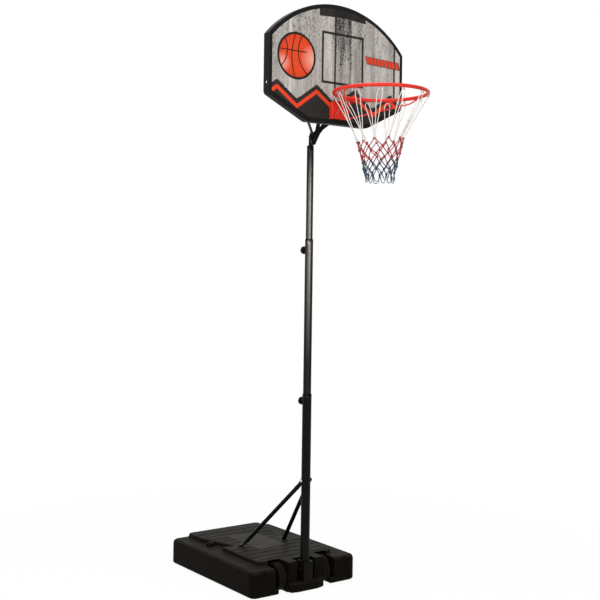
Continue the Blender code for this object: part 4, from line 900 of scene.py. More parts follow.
def make_pole(sizes, colours):
    """Three telescoping tubes with rolled lips."""
    matt = powder_coat("pole_coat", colours.pole, 0.33, specular=0.07)
    satin = powder_coat("pole_satin", colours.pole, 0.33, specular=0.04, polish=0.66)
    lip = 0.0004
    for name, radius in TUBE_R.items():
        z0, z1 = low(name).z, high(name).z
        inner = radius - TUBE_WALL
        profile = [(radius - lip, z0), (radius, z0 + lip)]
        profile += [(radius, z) for z in span(z0 + 0.02, z1 - 0.02, 10)]
        profile += [(radius, z1 - lip), (radius - lip, z1), (inner, z1), (inner, z0)]
        shape = turned(profile, (0, 0, 0), Z_AXIS, sizes.sides, ring=True)
        piece(name + "_tube", shape, matt if name == "pole_lower" else satin, "pole_paint", name, sharp=50)


def make_bushes(sizes, colours):
    """Two plastic collars that guide one tube in the next."""
    nylon = moulded_plastic("bush_nylon", colours.trim, 0.42)
    for name, outer, inner in (("bush_lower", "pole_lower", "pole_middle"),
                               ("bush_upper", "pole_middle", "pole_upper")):
        z0, z1 = low(name).z, high(name).z
        top = high(outer).z
        rim = high(name).x
        sleeve_r = TUBE_R[outer] - TUBE_WALL - GAP
        hole = TUBE_R[inner] + GAP
        profile = [
            (hole + 0.0004, z0), (sleeve_r, z0 + 0.001), (sleeve_r, top + GAP), (rim - 0.0002, top + GAP),
            (rim, top + 0.0008), (rim, z1 - 0.0016), (rim - 0.0006, z1 - 0.0006), (rim - 0.0018, z1),
            (hole + 0.0006, z1), (hole, z1 - 0.0006), (hole, z0 + 0.0004),
        ]
        shape = turned(profile, (0, 0, 0), Z_AXIS, sizes.sides, ring=True)
        piece(name + "_collar", shape, nylon, "bush_plastic", name, sharp=30)


GRIP_DEPTH = 0.0175
# Share of the radius, distance along the knob, and 1 where it is lobed
GRIP_ROWS = (
    (0.60, 0.0, 0), (0.64, 0.0012, 0), (0.66, 0.0044, 0), (0.84, 0.0050, 1), (0.95, 0.0056, 1),
    (1.0, 0.0078, 1), (1.0, 0.0138, 1), (0.97, 0.0158, 1), (0.90, 0.0168, 1), (0.76, 0.0174, 1),
    (0.60, GRIP_DEPTH, 0), (0.56, 0.0169, 0), (0.30, 0.0167, 0),
)


def boss_object(prefix, z, tube_r):
    """Threaded boss with its weld, cut to sit on the tube."""
    seat = high(prefix + "_boss").y
    profile = [(HOLE_R, tube_r - 0.003), (BOSS_R + 0.0012, tube_r - 0.003),
               (BOSS_R + 0.0010, tube_r + 0.0012), (BOSS_R, tube_r + 0.0024), (BOSS_R, seat - 0.0008),
               (BOSS_R - 0.0008, seat), (HOLE_R + 0.0003, seat), (HOLE_R, seat - 0.0003)]
    boss = raw_object(prefix + "_weld_boss", turned(profile, (0, 0, z), Y_AXIS, 40, ring=True))
    combine(boss, turned(((tube_r + GAP, -0.03), (tube_r + GAP, 0.03)), (0, 0, z), Z_AXIS), "DIFFERENCE")
    return boss


def grip_object(prefix, z, stud_end):
    """Lobed knob head with the blind hole of its stud."""
    y0, y1 = low(prefix + "_head").y, high(prefix + "_head").y
    size = high(prefix + "_head").x
    scale = (y1 - y0) / GRIP_DEPTH

    def lobes(angle):
        """Share of the radius at an angle, with eight lobes."""
        return 1.0 - 0.12 * (0.5 - 0.5 * math.cos(8 * angle)) ** 1.5

    loops = [circle((0, y0 + t * scale, z), Y_AXIS, size * share, 128, lobes if lobed else None)
             for share, t, lobed in GRIP_ROWS]
    grip = raw_object(prefix + "_grip", skin(bmesh.new(), loops))
    bore(grip, (0, y0 - 0.01, z), (0, stud_end + GAP, z))
    return grip


def make_knobs(sizes, colours):
    """Clamp knobs: welded bosses, studs and lobed heads."""
    coat = powder_coat("boss_coat", colours.pole, 0.30)
    steel = zinc_plate("stud_zinc")
    grip_black = moulded_plastic("knob_black", colours.trim, 0.36, specular=0.08)
    for prefix, tube in (("knob_lower", "pole_lower"), ("knob_upper", "pole_middle")):
        z = middle(prefix + "_head").z
        finish_piece(boss_object(prefix, z, TUBE_R[tube]), coat, "pole_paint", prefix + "_boss", sharp=40)
        start, end = low(prefix + "_stud").y, high(prefix + "_stud").y
        stud = threaded(bmesh.new(), Vector((0, start, z)), Y_AXIS, end - start, end - start)
        piece(prefix + "_screw", stud, steel, "zinc_steel", prefix + "_stud", sharp=50)
        finish_piece(grip_object(prefix, z, end), grip_black, "knob_plastic", prefix + "_head", sharp=38)


def flat_oval(centre, wide, thick, half_width, half_thick, squareness):
    """Oval section; a higher squareness gives flatter sides."""
    points = []
    for k in range(OVAL_STEPS):
        angle = 2 * math.pi * (k + 0.5) / OVAL_STEPS
        c, s = math.cos(angle), math.sin(angle)
        a = math.copysign(abs(c) ** (2 / squareness), c) * half_width
        b = math.copysign(abs(s) ** (2 / squareness), s) * half_thick
        points.append(Vector(centre) + Vector(wide) * a + Vector(thick) * b)
    return points


OVAL_STEPS = 28
BRACE_THICK = BRACE_TAB / 2
# Pressed ends: distance from the end, half width, half thickness and squareness
TOP_PRESS = (
    (0.004, BRACE_TAB_HALF * 0.96, BRACE_THICK * 1.25, 5),
    (0.010, BRACE_TAB_HALF * 0.93, BRACE_THICK * 1.8, 3.6), (0.017, BRACE_R * 1.19, BRACE_R * 0.50, 2.8),
    (0.025, BRACE_R * 1.10, BRACE_R * 0.76, 2.3), (0.034, BRACE_R * 1.03, BRACE_R * 0.94, 2.1),
)
FOOT_PRESS = (
    (0.036, BRACE_R * 1.03, BRACE_R * 0.94, 2.1), (0.027, BRACE_R * 1.10, BRACE_R * 0.76, 2.3),
    (0.019, BRACE_R * 1.18, BRACE_R * 0.50, 2.8), (0.012, BRACE_TAB_HALF * 0.93, BRACE_THICK * 1.7, 3.6),
    (0.006, BRACE_TAB_HALF * 0.97, BRACE_THICK * 1.25, 5),
)


def brace_loops(bolt, foot, side):
    """Sections of a brace: flat tab on the bolt, round tube and flat foot on the deck."""
    w, t = BRACE_TAB_HALF, BRACE_THICK
    heel = Vector((foot.x - side * 0.0052, foot.y - 0.0112, foot.z))
    start = Vector((bolt.x, 0.014, bolt.z - 0.020))
    end = heel + Vector((0, 0, 0.0025))
    run = (end - start).normalized()
    top_dir = Vector((0, start.y, start.z - bolt.z)).normalized()
    flat_dir = Vector((foot.x - heel.x, foot.y - heel.y, 0)).normalized()
    top_w = X_AXIS.cross(top_dir).normalized()
    low_w = towards(Z_AXIS.cross(flat_dir).normalized(), top_w)
    run_t = towards(run.cross(top_w).normalized(), X_AXIS)
    hand = 1.0 if run.dot(top_w.cross(run_t)) > 0 else -1.0
    run_low = run.cross(low_w).normalized()
    low_t = Vector((0, 0, math.copysign(1.0, run_low.z * hand)))
    loops = [flat_oval(bolt + top_dir * w * math.sin(a), top_w, X_AXIS, w * math.cos(a), t, 7)
             for a in turns(-80, 0, 5)]
    loops.append(flat_oval(bolt + top_dir * 0.011, top_w, X_AXIS, w, t, 6))
    loops += [flat_oval(start + run * at, top_w, run_t, *section) for at, *section in TOP_PRESS]
    total = (end - start).length
    turn = math.atan2(run.dot(top_w.cross(low_w)), top_w.dot(low_w))
    for share in span(0.0, 1.0, 14):
        wide = Matrix.Rotation(turn * share, 3, run) @ top_w
        at = start + run * (0.042 + (total - 0.086) * share)
        loops.append(flat_oval(at, wide, run.cross(wide) * hand, BRACE_R, BRACE_R, 2))
    loops += [flat_oval(end - run * back, low_w, run_low * hand, *section) for back, *section in FOOT_PRESS]
    loops.append(flat_oval(heel + flat_dir * 0.003, low_w, low_t, w, t, 6))
    return loops + [flat_oval(foot + flat_dir * w * math.sin(a), low_w, low_t, w * math.cos(a), t, 7)
                    for a in turns(0, 80, 5)]


def make_braces(sizes, colours):
    """Two round braces with pressed ends, from the pole to the deck."""
    finish = powder_coat("brace_coat", colours.frame, 0.34)
    for hand, side in SIDES.items():
        name = "brace_" + hand
        screw = middle("foot_screw_" + hand)
        bolt = Vector((side * (TUBE_R["pole_lower"] + GAP + BRACE_THICK), 0, middle("brace_bolt").z))
        foot = Vector((screw.x, screw.y, low(name).z + BRACE_THICK))
        brace = raw_object(name + "_tube", skin(bmesh.new(), brace_loops(bolt, foot, side)))
        bore(brace, bolt - X_AXIS * 0.01, bolt + X_AXIS * 0.01)
        bore(brace, foot - Z_AXIS * 0.01, foot + Z_AXIS * 0.01)
        finish_piece(brace, finish, "frame_paint", name, sharp=40)


# Head plate and arms

# Corners of the plate from the pole's top, with their radius
PLATE_CORNERS = (
    (0.011, 0.004, 0.0), (0.010, 0.0465, 0.004), (0.004, 0.0545, 0.004), (-0.046, 0.0545, 0.005),
    (-0.047, 0.0405, 0.006), (-0.033, 0.0205, 0.012), (-0.012, 0.004, 0.0),
)


def make_head(sizes, colours):
    """Plug in the upper tube with the upright plate that carries the arms."""
    top = high("pole_upper").z
    bottom = low("pole_head").z
    outer = TUBE_R["pole_upper"]
    plug_r = outer - TUBE_WALL - GAP
    profile = [(plug_r - 0.001, bottom), (plug_r, bottom + 0.001), (plug_r, top + GAP), (outer, top + GAP),
               (outer, top + 0.0048), (outer - 0.0007, top + 0.0064), (outer - 0.0022, top + 0.0078),
               (outer - 0.0048, top + 0.0088), (outer - 0.008, top + 0.009)]
    head = raw_object("head_plate", turned(profile, (0, 0, 0), Z_AXIS, sizes.sides))
    outline = [(y, top + z) for y, z in fillet(PLATE_CORNERS, 5)]
    half, edge = PLATE_HALF, sizes.edge
    combine(head, stack([(-half, offset(outline, edge)), (-half + edge, outline), (half - edge, outline),
                         (half, offset(outline, edge))], axis=0))
    back = middle("arm_bolt_back")
    reach = half + GAP + ARM_THICK
    combine(head, turned(((0.0056, 0.0), (0.0056, 2 * reach)), (-reach, back.y, back.z), X_AXIS, 32))
    for bolt in ("arm_bolt_front", "arm_bolt_back"):
        y, z = middle(bolt).y, middle(bolt).z
        bore(head, (-0.02, y, z), (0.02, y, z))
    finish_piece(head, powder_coat("head_coat", colours.frame, 0.34), "frame_paint", "pole_head", sharp=32)


def bar(centre, wide, thick, half_width):
    """Flat bar's section with slightly round edges."""
    a, b, r = half_width, ARM_THICK / 2, 0.0006
    edge = a * 0.3 if a < 2 * r else r
    corners = [(-a, -b, edge), (a, -b, edge), (a, b, edge), (-a, b, edge)]
    return [Vector(centre) + wide * x + thick * y for x, y in fillet(corners, 3)]


def arm_loops(start, tip, lean, bend_at, outward):
    """Sections of an arm: round end, bend, long run, twist and the flat end on its post."""
    w = ARM_HALF
    flat_t = Vector((0, -1, 0))
    d1 = Vector((0, -lean, 1)).normalized()
    w1 = Vector((0, d1.z, -d1.y))
    bend = start + d1 * bend_at
    reach = tip + Vector((0, 0, -0.017))
    d2 = (reach - bend).normalized()
    n2 = towards(d2.cross(w1).normalized(), outward)
    w2 = towards(w1 if abs(w1.dot(d2)) < 0.2 else n2.cross(d2).normalized(), w1)
    n2 = towards(d2.cross(w2).normalized(), outward)
    loops = [bar(start + d1 * w * math.sin(a), w1, outward, w * math.cos(a)) for a in turns(-84, 0, 7)]
    loops.append(bar(bend - d1 * 0.006, w1, outward, w))
    for share in span(0.0, 1.0, 4):
        wide = w1.lerp(w2, share).normalized()
        thick = outward.lerp(n2, share).normalized()
        loops.append(bar((bend - d1 * 0.004).lerp(bend + d2 * 0.004, share), wide, thick, w))
    total = (reach - bend).length
    twist_from = total * 0.62
    for share in span(0.0, 1.0, 14):
        eased = share * share * (3 - 2 * share)
        wide = w2.lerp(outward, eased).normalized()
        thick = n2.lerp(flat_t, eased)
        thick = (thick - wide * thick.dot(wide)).normalized()
        at = bend + d2 * (twist_from + (total - 0.006 - twist_from) * share)
        if share == 1.0:
            at = Vector((reach.x, reach.y, reach.z - 0.001))
        loops.append(bar(at, wide, thick, w))
    return loops + [bar(tip + Vector((0, 0, w * math.sin(a))), outward, flat_t, w * math.cos(a))
                    for a in turns(0, 84, 7)]


def make_arms(sizes, colours):
    """Four flat arms, bent at the head plate and twisted flat against the board's posts."""
    finish = powder_coat("arm_coat", colours.frame, 0.33)
    for row, bolt_name, lean, bend_at, spacing in (("inner", "arm_bolt_front", 0.75, 0.050, 0.0),
                                                   ("outer", "arm_bolt_back", 0.62, 0.018, ARM_THICK + GAP)):
        bolt = middle(bolt_name)
        for hand, side in SIDES.items():
            name = "arm_%s_%s" % (row, hand)
            screw = middle("post_screw_%s_%s" % (row, hand))
            outward = Vector((side, 0, 0))
            start = Vector((side * (PLATE_HALF + GAP + spacing + ARM_THICK / 2), bolt.y, bolt.z))
            tip = Vector((screw.x, low(name).y + ARM_THICK / 2, screw.z))
            arm = raw_object(name + "_bar", skin(bmesh.new(), arm_loops(start, tip, lean, bend_at, outward)))
            bore(arm, start - outward * 0.02, start + outward * 0.02)
            bore(arm, tip - Y_AXIS * 0.02, tip + Y_AXIS * 0.02)
            finish_piece(arm, finish, "frame_paint", name, sharp=32)


# Board

def board_outline(inset=0.0):
    """Front view of the board: a wide arc on top, upright sides and a tapered lower edge."""
    centre_z = BOARD_TOP - BOARD_ARC_R
    side = BOARD_HALF - inset
    arc = BOARD_ARC_R - inset
    shoulder = centre_z + math.sqrt(arc ** 2 - side ** 2)
    x, z, bottom = BOARD_HALF, BOARD_LOW + BOARD_SIDE_RISE, BOARD_BOTTOM_HALF
    peak = shoulder + x
    lower = [(-bottom, BOARD_LOW), (bottom, BOARD_LOW), (x, z), (x, peak), (-x, peak), (-x, z)]
    if inset:
        lower = offset(lower, inset)
    radii = [max(r - inset, 0.003) for r in (0.030, 0.030, 0.018)]
    corners = [(px, pz, r) for (px, pz), r in zip(lower, radii)]
    shoulder_r = max(0.010 - inset, 0.003)
    corners.append((side, shoulder, shoulder_r))
    reach = math.asin((side - 0.015) / arc)
    corners += [(arc * math.sin(a), centre_z + arc * math.cos(a), 0.0) for a in span(reach, -reach, 72)]
    corners += [(-side, shoulder, shoulder_r), (lower[5][0], lower[5][1], radii[2])]
    return fillet(corners, 8)


def places(nodes):
    """Front-view places of some fasteners."""
    return [(middle(node).x, middle(node).z) for node in nodes]


def add_ribs(board, posts):
    """Upright ribs through the posts and two level ribs, on the back of the board's face."""
    slope = BOARD_SIDE_RISE / (BOARD_HALF - BOARD_BOTTOM_HALF)
    rib_front, rib_back, half = BOARD_FRONT + 0.002, BOARD_FRONT + 0.022, 0.0012
    for x, _ in posts:
        reach = abs(x)
        top = BOARD_TOP - BOARD_ARC_R + math.sqrt(BOARD_ARC_R ** 2 - reach ** 2) - 0.002
        bottom = BOARD_LOW + max(0.0, reach - BOARD_BOTTOM_HALF) * slope + 0.0025
        combine(board, block((x - half, rib_front, bottom), (x + half, rib_back, top)))
    for rise in RIB_RISES:
        z = BOARD_LOW + rise
        x = BOARD_HALF - 0.002
        combine(board, block((-x, rib_front, z), (x, rib_back - 0.002, z + 2 * half)))


def make_board(sizes, colours):
    """Moulded board, open at the back, with its ribs, posts and holes."""
    front, back = BOARD_FRONT, BOARD_BACK
    floor_y = front + BOARD_WALL
    r = 0.004
    levels = [(front + r * (1 - math.cos(a)) * 0.9, board_outline(r * (1 - math.sin(a))))
              for a in turns(0, 90, 5)]
    for y, inset in ((back - 0.0012, 0.0), (back, 0.0010), (back, BOARD_WALL - 0.0010),
                     (back - 0.0012, BOARD_WALL), (floor_y + 0.003, BOARD_WALL + 0.0006),
                     (floor_y, BOARD_WALL + 0.003)):
        levels.append((y, board_outline(inset)))
    board = raw_object("board_moulding", stack(levels, axis=1))
    posts = places(POST_SCREWS)
    add_ribs(board, posts)
    for x, z in posts:
        profile = ((0.0132, 0.0), (0.0120, 0.006), (0.0120, POST_HEIGHT - 0.003),
                   (0.0112, POST_HEIGHT - 0.002))
        combine(board, turned(profile, (x, front + 0.002, z), Y_AXIS, 40))
        bore(board, (x, front + POST_HEIGHT - 0.023, z), (x, front + POST_HEIGHT + 0.02, z))
    for side in SIDES.values():
        y, z = front + 0.016, BOARD_LOW + SIDE_HOLE_RISE
        bore(board, (side * (BOARD_HALF - 0.02), y, z), (side * (BOARD_HALF + 0.02), y, z), SIDE_HOLE_R, 28)
    for x, z in places(RIM_BOLTS):
        bore(board, (x, front - 0.02, z), (x, front + 0.03, z))
    finish = moulded_plastic("board_black", colours.board, 0.40, specular=0.07, grain=1100.0)
    finish_piece(board, finish, "board_plastic", "board_shell", sharp=34)


def make_sheet(sizes, colours):
    """Printed sheet on the board's face."""
    y0, y1 = low("print_sheet").y, high("print_sheet").y
    edge = 0.0002
    sheet = raw_object("front_print", stack([
        (y0, board_outline(SHEET_BORDER + edge)), (y0 + edge, board_outline(SHEET_BORDER)),
        (y1, board_outline(SHEET_BORDER))], axis=1))
    for x, z in places(RIM_BOLTS):
        bore(sheet, (x, y0 - 0.02, z), (x, y0 + 0.03, z))
    finish_piece(sheet, printed_sheet("front_artwork", colours), "print_film", "print_sheet")


# Rim

RING_STEPS = 144


def ring_shape():
    """Ring of round tube."""
    section = [(RING_R + RING_TUBE_R * math.cos(a), RING_TUBE_R * math.sin(a))
               for a in span(0.0, 2 * math.pi, 24)[:-1]]
    loops = []
    for k in range(RING_STEPS):
        angle = 2 * math.pi * k / RING_STEPS
        out = Vector((math.cos(angle), math.sin(angle), 0))
        loops.append([RING_AT + out * reach + Z_AXIS * rise for reach, rise in section])
    return skin(bmesh.new(), loops, ring=True)


def bracket_object(edge):
    """Folded bracket: a channel against the board and the shelf under the ring."""
    lower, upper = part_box("rim_bracket")
    x, s = upper.x, BRACKET_SHEET
    front, back, top = BOARD_FRONT - BRACKET_DEPTH, upper.y, upper.z
    channel = fillet([
        (x, back, 0.0), (x - s, back, 0.0), (x - s, front + s, 0.0022), (-x + s, front + s, 0.0022),
        (-x + s, back, 0.0), (-x, back, 0.0), (-x, front, 0.0046), (x, front, 0.0046),
    ], 6)[::-1]
    bracket = raw_object("bracket_fold", stack([(lower.z, channel), (top - s * 0.5, channel)]))
    shelf = fillet([
        (-x, back, 0.001), (-x, front + 0.001, 0.004), (-x * 0.72, lower.y + 0.004, 0.006),
        (-x * 0.64, lower.y, 0.003), (x * 0.64, lower.y, 0.003), (x * 0.72, lower.y + 0.004, 0.006),
        (x, front + 0.001, 0.004), (x, back, 0.001),
    ], 5)
    combine(bracket, stack([(top - s, offset(shelf, edge)), (top - s + edge, shelf), (top - edge, shelf),
                            (top, offset(shelf, edge))]))
    for bx, bz in places(RIM_BOLTS):
        bore(bracket, (bx, front - 0.01, bz), (bx, front + 0.01, bz))
    return bracket


def stay_path(side):
    """Middle line of a thin stay from the bracket's lower corner to the ring."""
    front = BOARD_FRONT - BRACKET_DEPTH
    x, z = high("rim_bracket").x - 0.006, low("rim_bracket").z + 0.0065
    ring_y, ring_z = RING_AT.y, RING_AT.z
    top = ring_z - RING_TUBE_R - GAP - STAY_R
    points = [Vector((side * a, b, c)) for a, b, c in (
        (x, front - GAP, z), (x, front - 0.004, z), (x + 0.0035, front - 0.014, z + 0.0013),
        (RING_R - 0.044, ring_y + 0.045, ring_z - 0.0335), (RING_R - 0.018, ring_y + 0.022, ring_z - 0.0252),
        (RING_R - 0.0065, ring_y + 0.011, ring_z - 0.0171), (RING_R - 0.0020, ring_y, top - 0.0002),
        (RING_R - 0.0004, ring_y - 0.010, top),
    )]
    straight = [points[2].lerp(points[3], share) for share in (0.25, 0.5, 0.75)]
    return points[:3] + straight + smooth_path(points[3:], 6)


def make_rim(sizes, colours):
    """Ring with its hooks, folded bracket and the two stays, all in one paint."""
    finish = red_coat("rim_coat", colours, 0.34)
    ring = raw_object("ring_tube", ring_shape())
    for angle in HOOK_ANGLES:
        combine(ring, hook_shape(angle))
    finish_piece(ring, finish, "rim_paint", "rim_ring", sharp=60)
    finish_piece(bracket_object(sizes.edge), finish, "rim_paint", "rim_bracket", sharp=34)
    for hand, side in SIDES.items():
        name = "rim_stay_" + hand
        shape = sweep(bmesh.new(), stay_path(side), STAY_R, 20)
        piece(name + "_rod", shape, finish, "rim_paint", name, sharp=50)


# Net

HOOK_ANGLES = (18.0, 41.0, 67.0, 97.0, 137.0, 168.0, 199.6, 228.3, 256.8, 288.3, 319.0, 350.0)
KNOT_ANGLES = (13.0, 37.0, 61.0, 87.0, 117.0, 148.0, 181.0, 216.3, 252.0, 287.3, 318.0, 346.0)
NET_LOOPS = len(HOOK_ANGLES)
# Radius of each row of knots and how far it hangs below the ring
NET_ROWS = ((0.091, 0.189), (0.085, 0.219), (0.078, 0.247), (0.070, 0.273), (0.065, 0.299), (0.059, 0.322))
NET_END = (0.060, 0.357)
NET_LEAN = 0.085
HOOK_R = 0.0012
HOOK_HALF = 0.0044
HOOK_DROP = RING_TUBE_R + 0.0085
WHITE, RED, BLUE, PALE = range(4)


def round_ring(angle, radius, drop):
    """Point round the ring's axis, at an angle in degrees and below the ring's level."""
    turn = math.radians(angle)
    return RING_AT + Vector((radius * math.cos(turn), radius * math.sin(turn), -drop))


def outward_at(point):
    """Level direction from the ring's axis to a point."""
    return Vector((point.x - RING_AT.x, point.y - RING_AT.y, 0)).normalized()


def hook_shape(angle):
    """Small wire hook under the ring that a loop of the net hangs in."""
    points = [round_ring(angle, RING_R - HOOK_HALF, 0.0050)]
    for a in turns(180, 360, 8):
        drop = HOOK_DROP - HOOK_HALF * (1 + math.sin(a))
        points.append(round_ring(angle, RING_R + HOOK_HALF * math.cos(a), drop))
    points.append(round_ring(angle, RING_R + HOOK_HALF, 0.0050))
    return sweep(bmesh.new(), points, HOOK_R, 10)


def net_knots(draw):
    """Places of the knots, row by row; the net hangs a little askew and fuller in front."""
    knots = []
    for row, (radius, drop) in enumerate(NET_ROWS):
        line = []
        for k in range(NET_LOOPS):
            angle = KNOT_ANGLES[k]
            if row % 2:
                after = KNOT_ANGLES[(k + 1) % NET_LOOPS]
                angle += ((after - angle) % 360.0) / 2
            place = round_ring(angle + draw.uniform(-2.2, 2.2), radius + draw.uniform(-0.0025, 0.0025),
                               drop + draw.uniform(-0.003, 0.003))
            lean = (place.x - RING_AT.x) * VIEW_Y - (place.y - RING_AT.y) * VIEW_X
            place.z += NET_LEAN * lean
            line.append(place)
        knots.append(line)
    return knots


def bowed(start, end, slack, draw):
    """Slightly slack cord between two knots."""
    out = outward_at((start + end) / 2)
    side = (end - start).cross(out).normalized()
    push = (out * draw.uniform(0.2, 1.2) + side * draw.uniform(-0.9, 0.9)) * (slack * 0.85)
    return smooth_path([start, start.lerp(end, 0.33) + push, start.lerp(end, 0.67) + push, end], 3)


def hanging_loop(angle, knot, half, cord, draw):
    """Cord from a knot up through its hook and back down, with a round top."""
    top = round_ring(angle, RING_R, HOOK_DROP - HOOK_R - GAP - cord)
    along = Vector((-math.sin(math.radians(angle)), math.cos(math.radians(angle)), 0))
    legs = []
    for side in SIDES.values():
        shoulder = round_ring(angle, RING_R - 0.006, HOOK_DROP + 0.012) + along * (side * half)
        leg = [top.lerp(knot, share) + along * (side * half * spread)
               for share, spread in ((0.30, 0.86), (0.55, 0.60), (0.80, 0.27))]
        leg[1] += Vector((draw.uniform(-1, 1), draw.uniform(-1, 1), 0)) * 0.0022
        curve = smooth_path([shoulder] + leg + [knot + along * (side * cord)], 4)
        arch = [top + along * (side * half * share) - Z_AXIS * drop
                for share, drop in ((0.42, 0.0012), (0.80, 0.0055))]
        legs.append(arch + curve)
    return list(reversed(legs[0])) + [top] + legs[1]


def knot_coil(shape, centre, cord, slot, lengths, draw):
    """Wound knot where cords meet."""
    axis = (Z_AXIS + outward_at(centre).cross(Z_AXIS) * draw.uniform(-0.5, 0.5)).normalized()
    side, up = axes_for(axis)
    start = draw.uniform(0.0, 2 * math.pi)
    path = []
    for share in span(0.0, 1.0, 22):
        angle = start + share * 2 * math.pi * 1.9
        reach = cord * (1.35 + 0.35 * math.sin(share * math.pi))
        path.append(polar(centre, side, up, reach, angle) + axis * (cord * 3.8 * (share - 0.5)))
    sweep(shape, path, cord * 1.05, 8, slot, lengths)


def open_loop(shape, first, second, cord, lengths, draw):
    """Open loop of cord between two knots of the last row, with a pale end."""
    out = outward_at((first + second) / 2)
    radius, drop = NET_END
    bottom = RING_AT + out * (radius + draw.uniform(-0.005, 0.005))
    bottom -= Z_AXIS * (drop - draw.uniform(0.0, 0.007))
    along = (second - first).normalized()
    wide = 0.0100 + draw.uniform(-0.002, 0.002)
    legs, curls = [], []
    for knot, side in ((first, -1), (second, 1)):
        bend = bottom + along * (side * wide) + Z_AXIS * 0.010
        legs.append(smooth_path([knot, knot.lerp(bottom, 0.45) + along * (side * 0.0025), bend], 4))
        curls.append(bottom + along * (side * wide * 0.66) + Z_AXIS * 0.0024)
    end = smooth_path([legs[0][-1], curls[0], bottom, curls[1], legs[1][-1]], 4)
    for path, slot in ((legs[0], BLUE), (end, PALE), (legs[1], BLUE)):
        sweep(shape, path, cord, 10, slot, lengths)


def make_net(sizes, colours):
    """Corded net: long loops from the hooks, rows of knots and open loops at the bottom."""
    draw = random.Random(7)
    shape = bmesh.new()
    lengths = shape.loops.layers.uv.new("cord")
    cord = sizes.knot_cord
    knots = net_knots(draw)
    for angle, knot in zip(HOOK_ANGLES, knots[0]):
        half = sizes.loop_half * draw.uniform(0.85, 1.1)
        loop = hanging_loop(angle, knot, half, sizes.cord_radius, draw)
        sweep(shape, loop, sizes.cord_radius, 10, WHITE, lengths)
    for row, line in enumerate(knots):
        slot = RED if row < 3 else BLUE
        for k, here in enumerate(line):
            if line is not knots[-1]:
                for n in (k - 1 + row % 2, k + row % 2):
                    path = bowed(here, knots[row + 1][n % NET_LOOPS], sizes.sag, draw)
                    sweep(shape, path, cord, 10, slot, lengths)
            knot_coil(shape, here, cord, slot, lengths, draw)
    for k, knot in enumerate(knots[-1]):
        open_loop(shape, knot, knots[-1][(k + 1) % NET_LOOPS], cord, lengths, draw)
    # The second colour of each cord is its painted shade between strands
    finishes = [
        braided_cord("cord_white", colours.cord_white, (0.42, 0.41, 0.40)),
        braided_cord("cord_red", colours.cord_red, (0.12, 0.008, 0.010)),
        braided_cord("cord_blue", colours.cord_blue, (0.010, 0.018, 0.036)),
        braided_cord("cord_pale", colours.cord_pale, (0.10, 0.13, 0.18)),
    ]
    piece("corded_net", shape, finishes, "net_cord", "net", sharp=70)


# Fasteners

BOLTS = (
    (X_AXIS, ("arm_bolt_front", "arm_bolt_back", "sleeve_bolt", "brace_bolt")), (Z_AXIS, ("sleeve_screw",)),
    (-Z_AXIS, ("foot_screw_left", "foot_screw_right")), (-Y_AXIS, POST_SCREWS), (Y_AXIS, RIM_BOLTS),
)
NUTS = (
    (X_AXIS, ("arm_nut_front", "arm_nut_back", "sleeve_nut", "brace_nut")),
    (Y_AXIS, [bolt.replace("bolt", "nut") for bolt in RIM_BOLTS]),
)


def threaded(shape, origin, along, total, thread):
    """Round shank with thread ridges over its last part."""
    profile = [(SHANK_R * 0.93 if thread >= total else SHANK_R, 0.0)]
    t = max(total - thread, 0.0) + 0.0004
    deep = SHANK_R - 0.00045
    while t + THREAD_PITCH < total - 0.0006:
        profile += [(deep, t), (SHANK_R, t + THREAD_PITCH * 0.45), (SHANK_R, t + THREAD_PITCH * 0.60),
                    (deep, t + THREAD_PITCH * 0.98)]
        t += THREAD_PITCH
    profile += [(deep, total - 0.0005), (deep - 0.0006, total)]
    return skin(shape, [circle(origin + along * s, along, r, 24) for r, s in profile])


def hexagon(centre, along, corner_r=HEX_R):
    """Points of a hexagon square to the direction."""
    flat_r = corner_r * math.cos(math.pi / 6)

    def wave(angle):
        """Share of the corner radius at an angle."""
        local = (angle + math.pi / 6) % (math.pi / 3) - math.pi / 6
        return min(1.0, flat_r / math.cos(math.pi / 6 - abs(local)) / corner_r)

    return circle(centre, along, corner_r, 48, wave)


def hex_head(shape, seat, along):
    """Chamfered hexagon head that stands on its seat, with its washer face."""
    shoulder = seat + along * (HEX_HEIGHT * 0.80)
    chamfer = []
    for point in hexagon(shoulder, along):
        spoke = point - shoulder
        extra = max(0.0, spoke.length - HEX_FLAT) / (HEX_R - HEX_FLAT)
        chamfer.append(shoulder + spoke.normalized() * min(spoke.length, HEX_FLAT * 1.02)
                       + along * (HEX_HEIGHT * (0.20 - 0.05 * extra)))
    skin(shape, [
        circle(seat, along, HEX_FLAT * 0.96, 48), circle(seat + along * 0.0004, along, HEX_FLAT * 0.96, 48),
        hexagon(seat + along * 0.0004, along, HEX_R * 0.985), hexagon(shoulder, along), chamfer,
        circle(seat + along * HEX_HEIGHT, along, HEX_FLAT * 0.90, 48),
        circle(seat + along * (HEX_HEIGHT * 0.97), along, HEX_FLAT * 0.55, 48),
    ])


def nut_shape(start, end, along):
    """Hexagon nut with chamfered ends and hole."""
    height = (end - start).length
    return skin(bmesh.new(), [
        circle(start, along, HEX_FLAT * 0.96, 48), hexagon(start + along * 0.0005, along),
        hexagon(start + along * (height - 0.0009), along), circle(end, along, HEX_FLAT * 0.93, 48),
        circle(end, along, HOLE_R + 0.0007, 48), circle(end - along * 0.0007, along, HOLE_R, 48),
        circle(start + along * 0.0007, along, HOLE_R, 48), circle(start, along, HOLE_R + 0.0007, 48),
    ], ring=True)


def ends_along(node, along):
    """First and last point of a node's box on the axis through its centre."""
    centre = middle(node)
    reach = abs((high(node) - low(node)).dot(along)) / 2
    return centre - along * reach, centre + along * reach


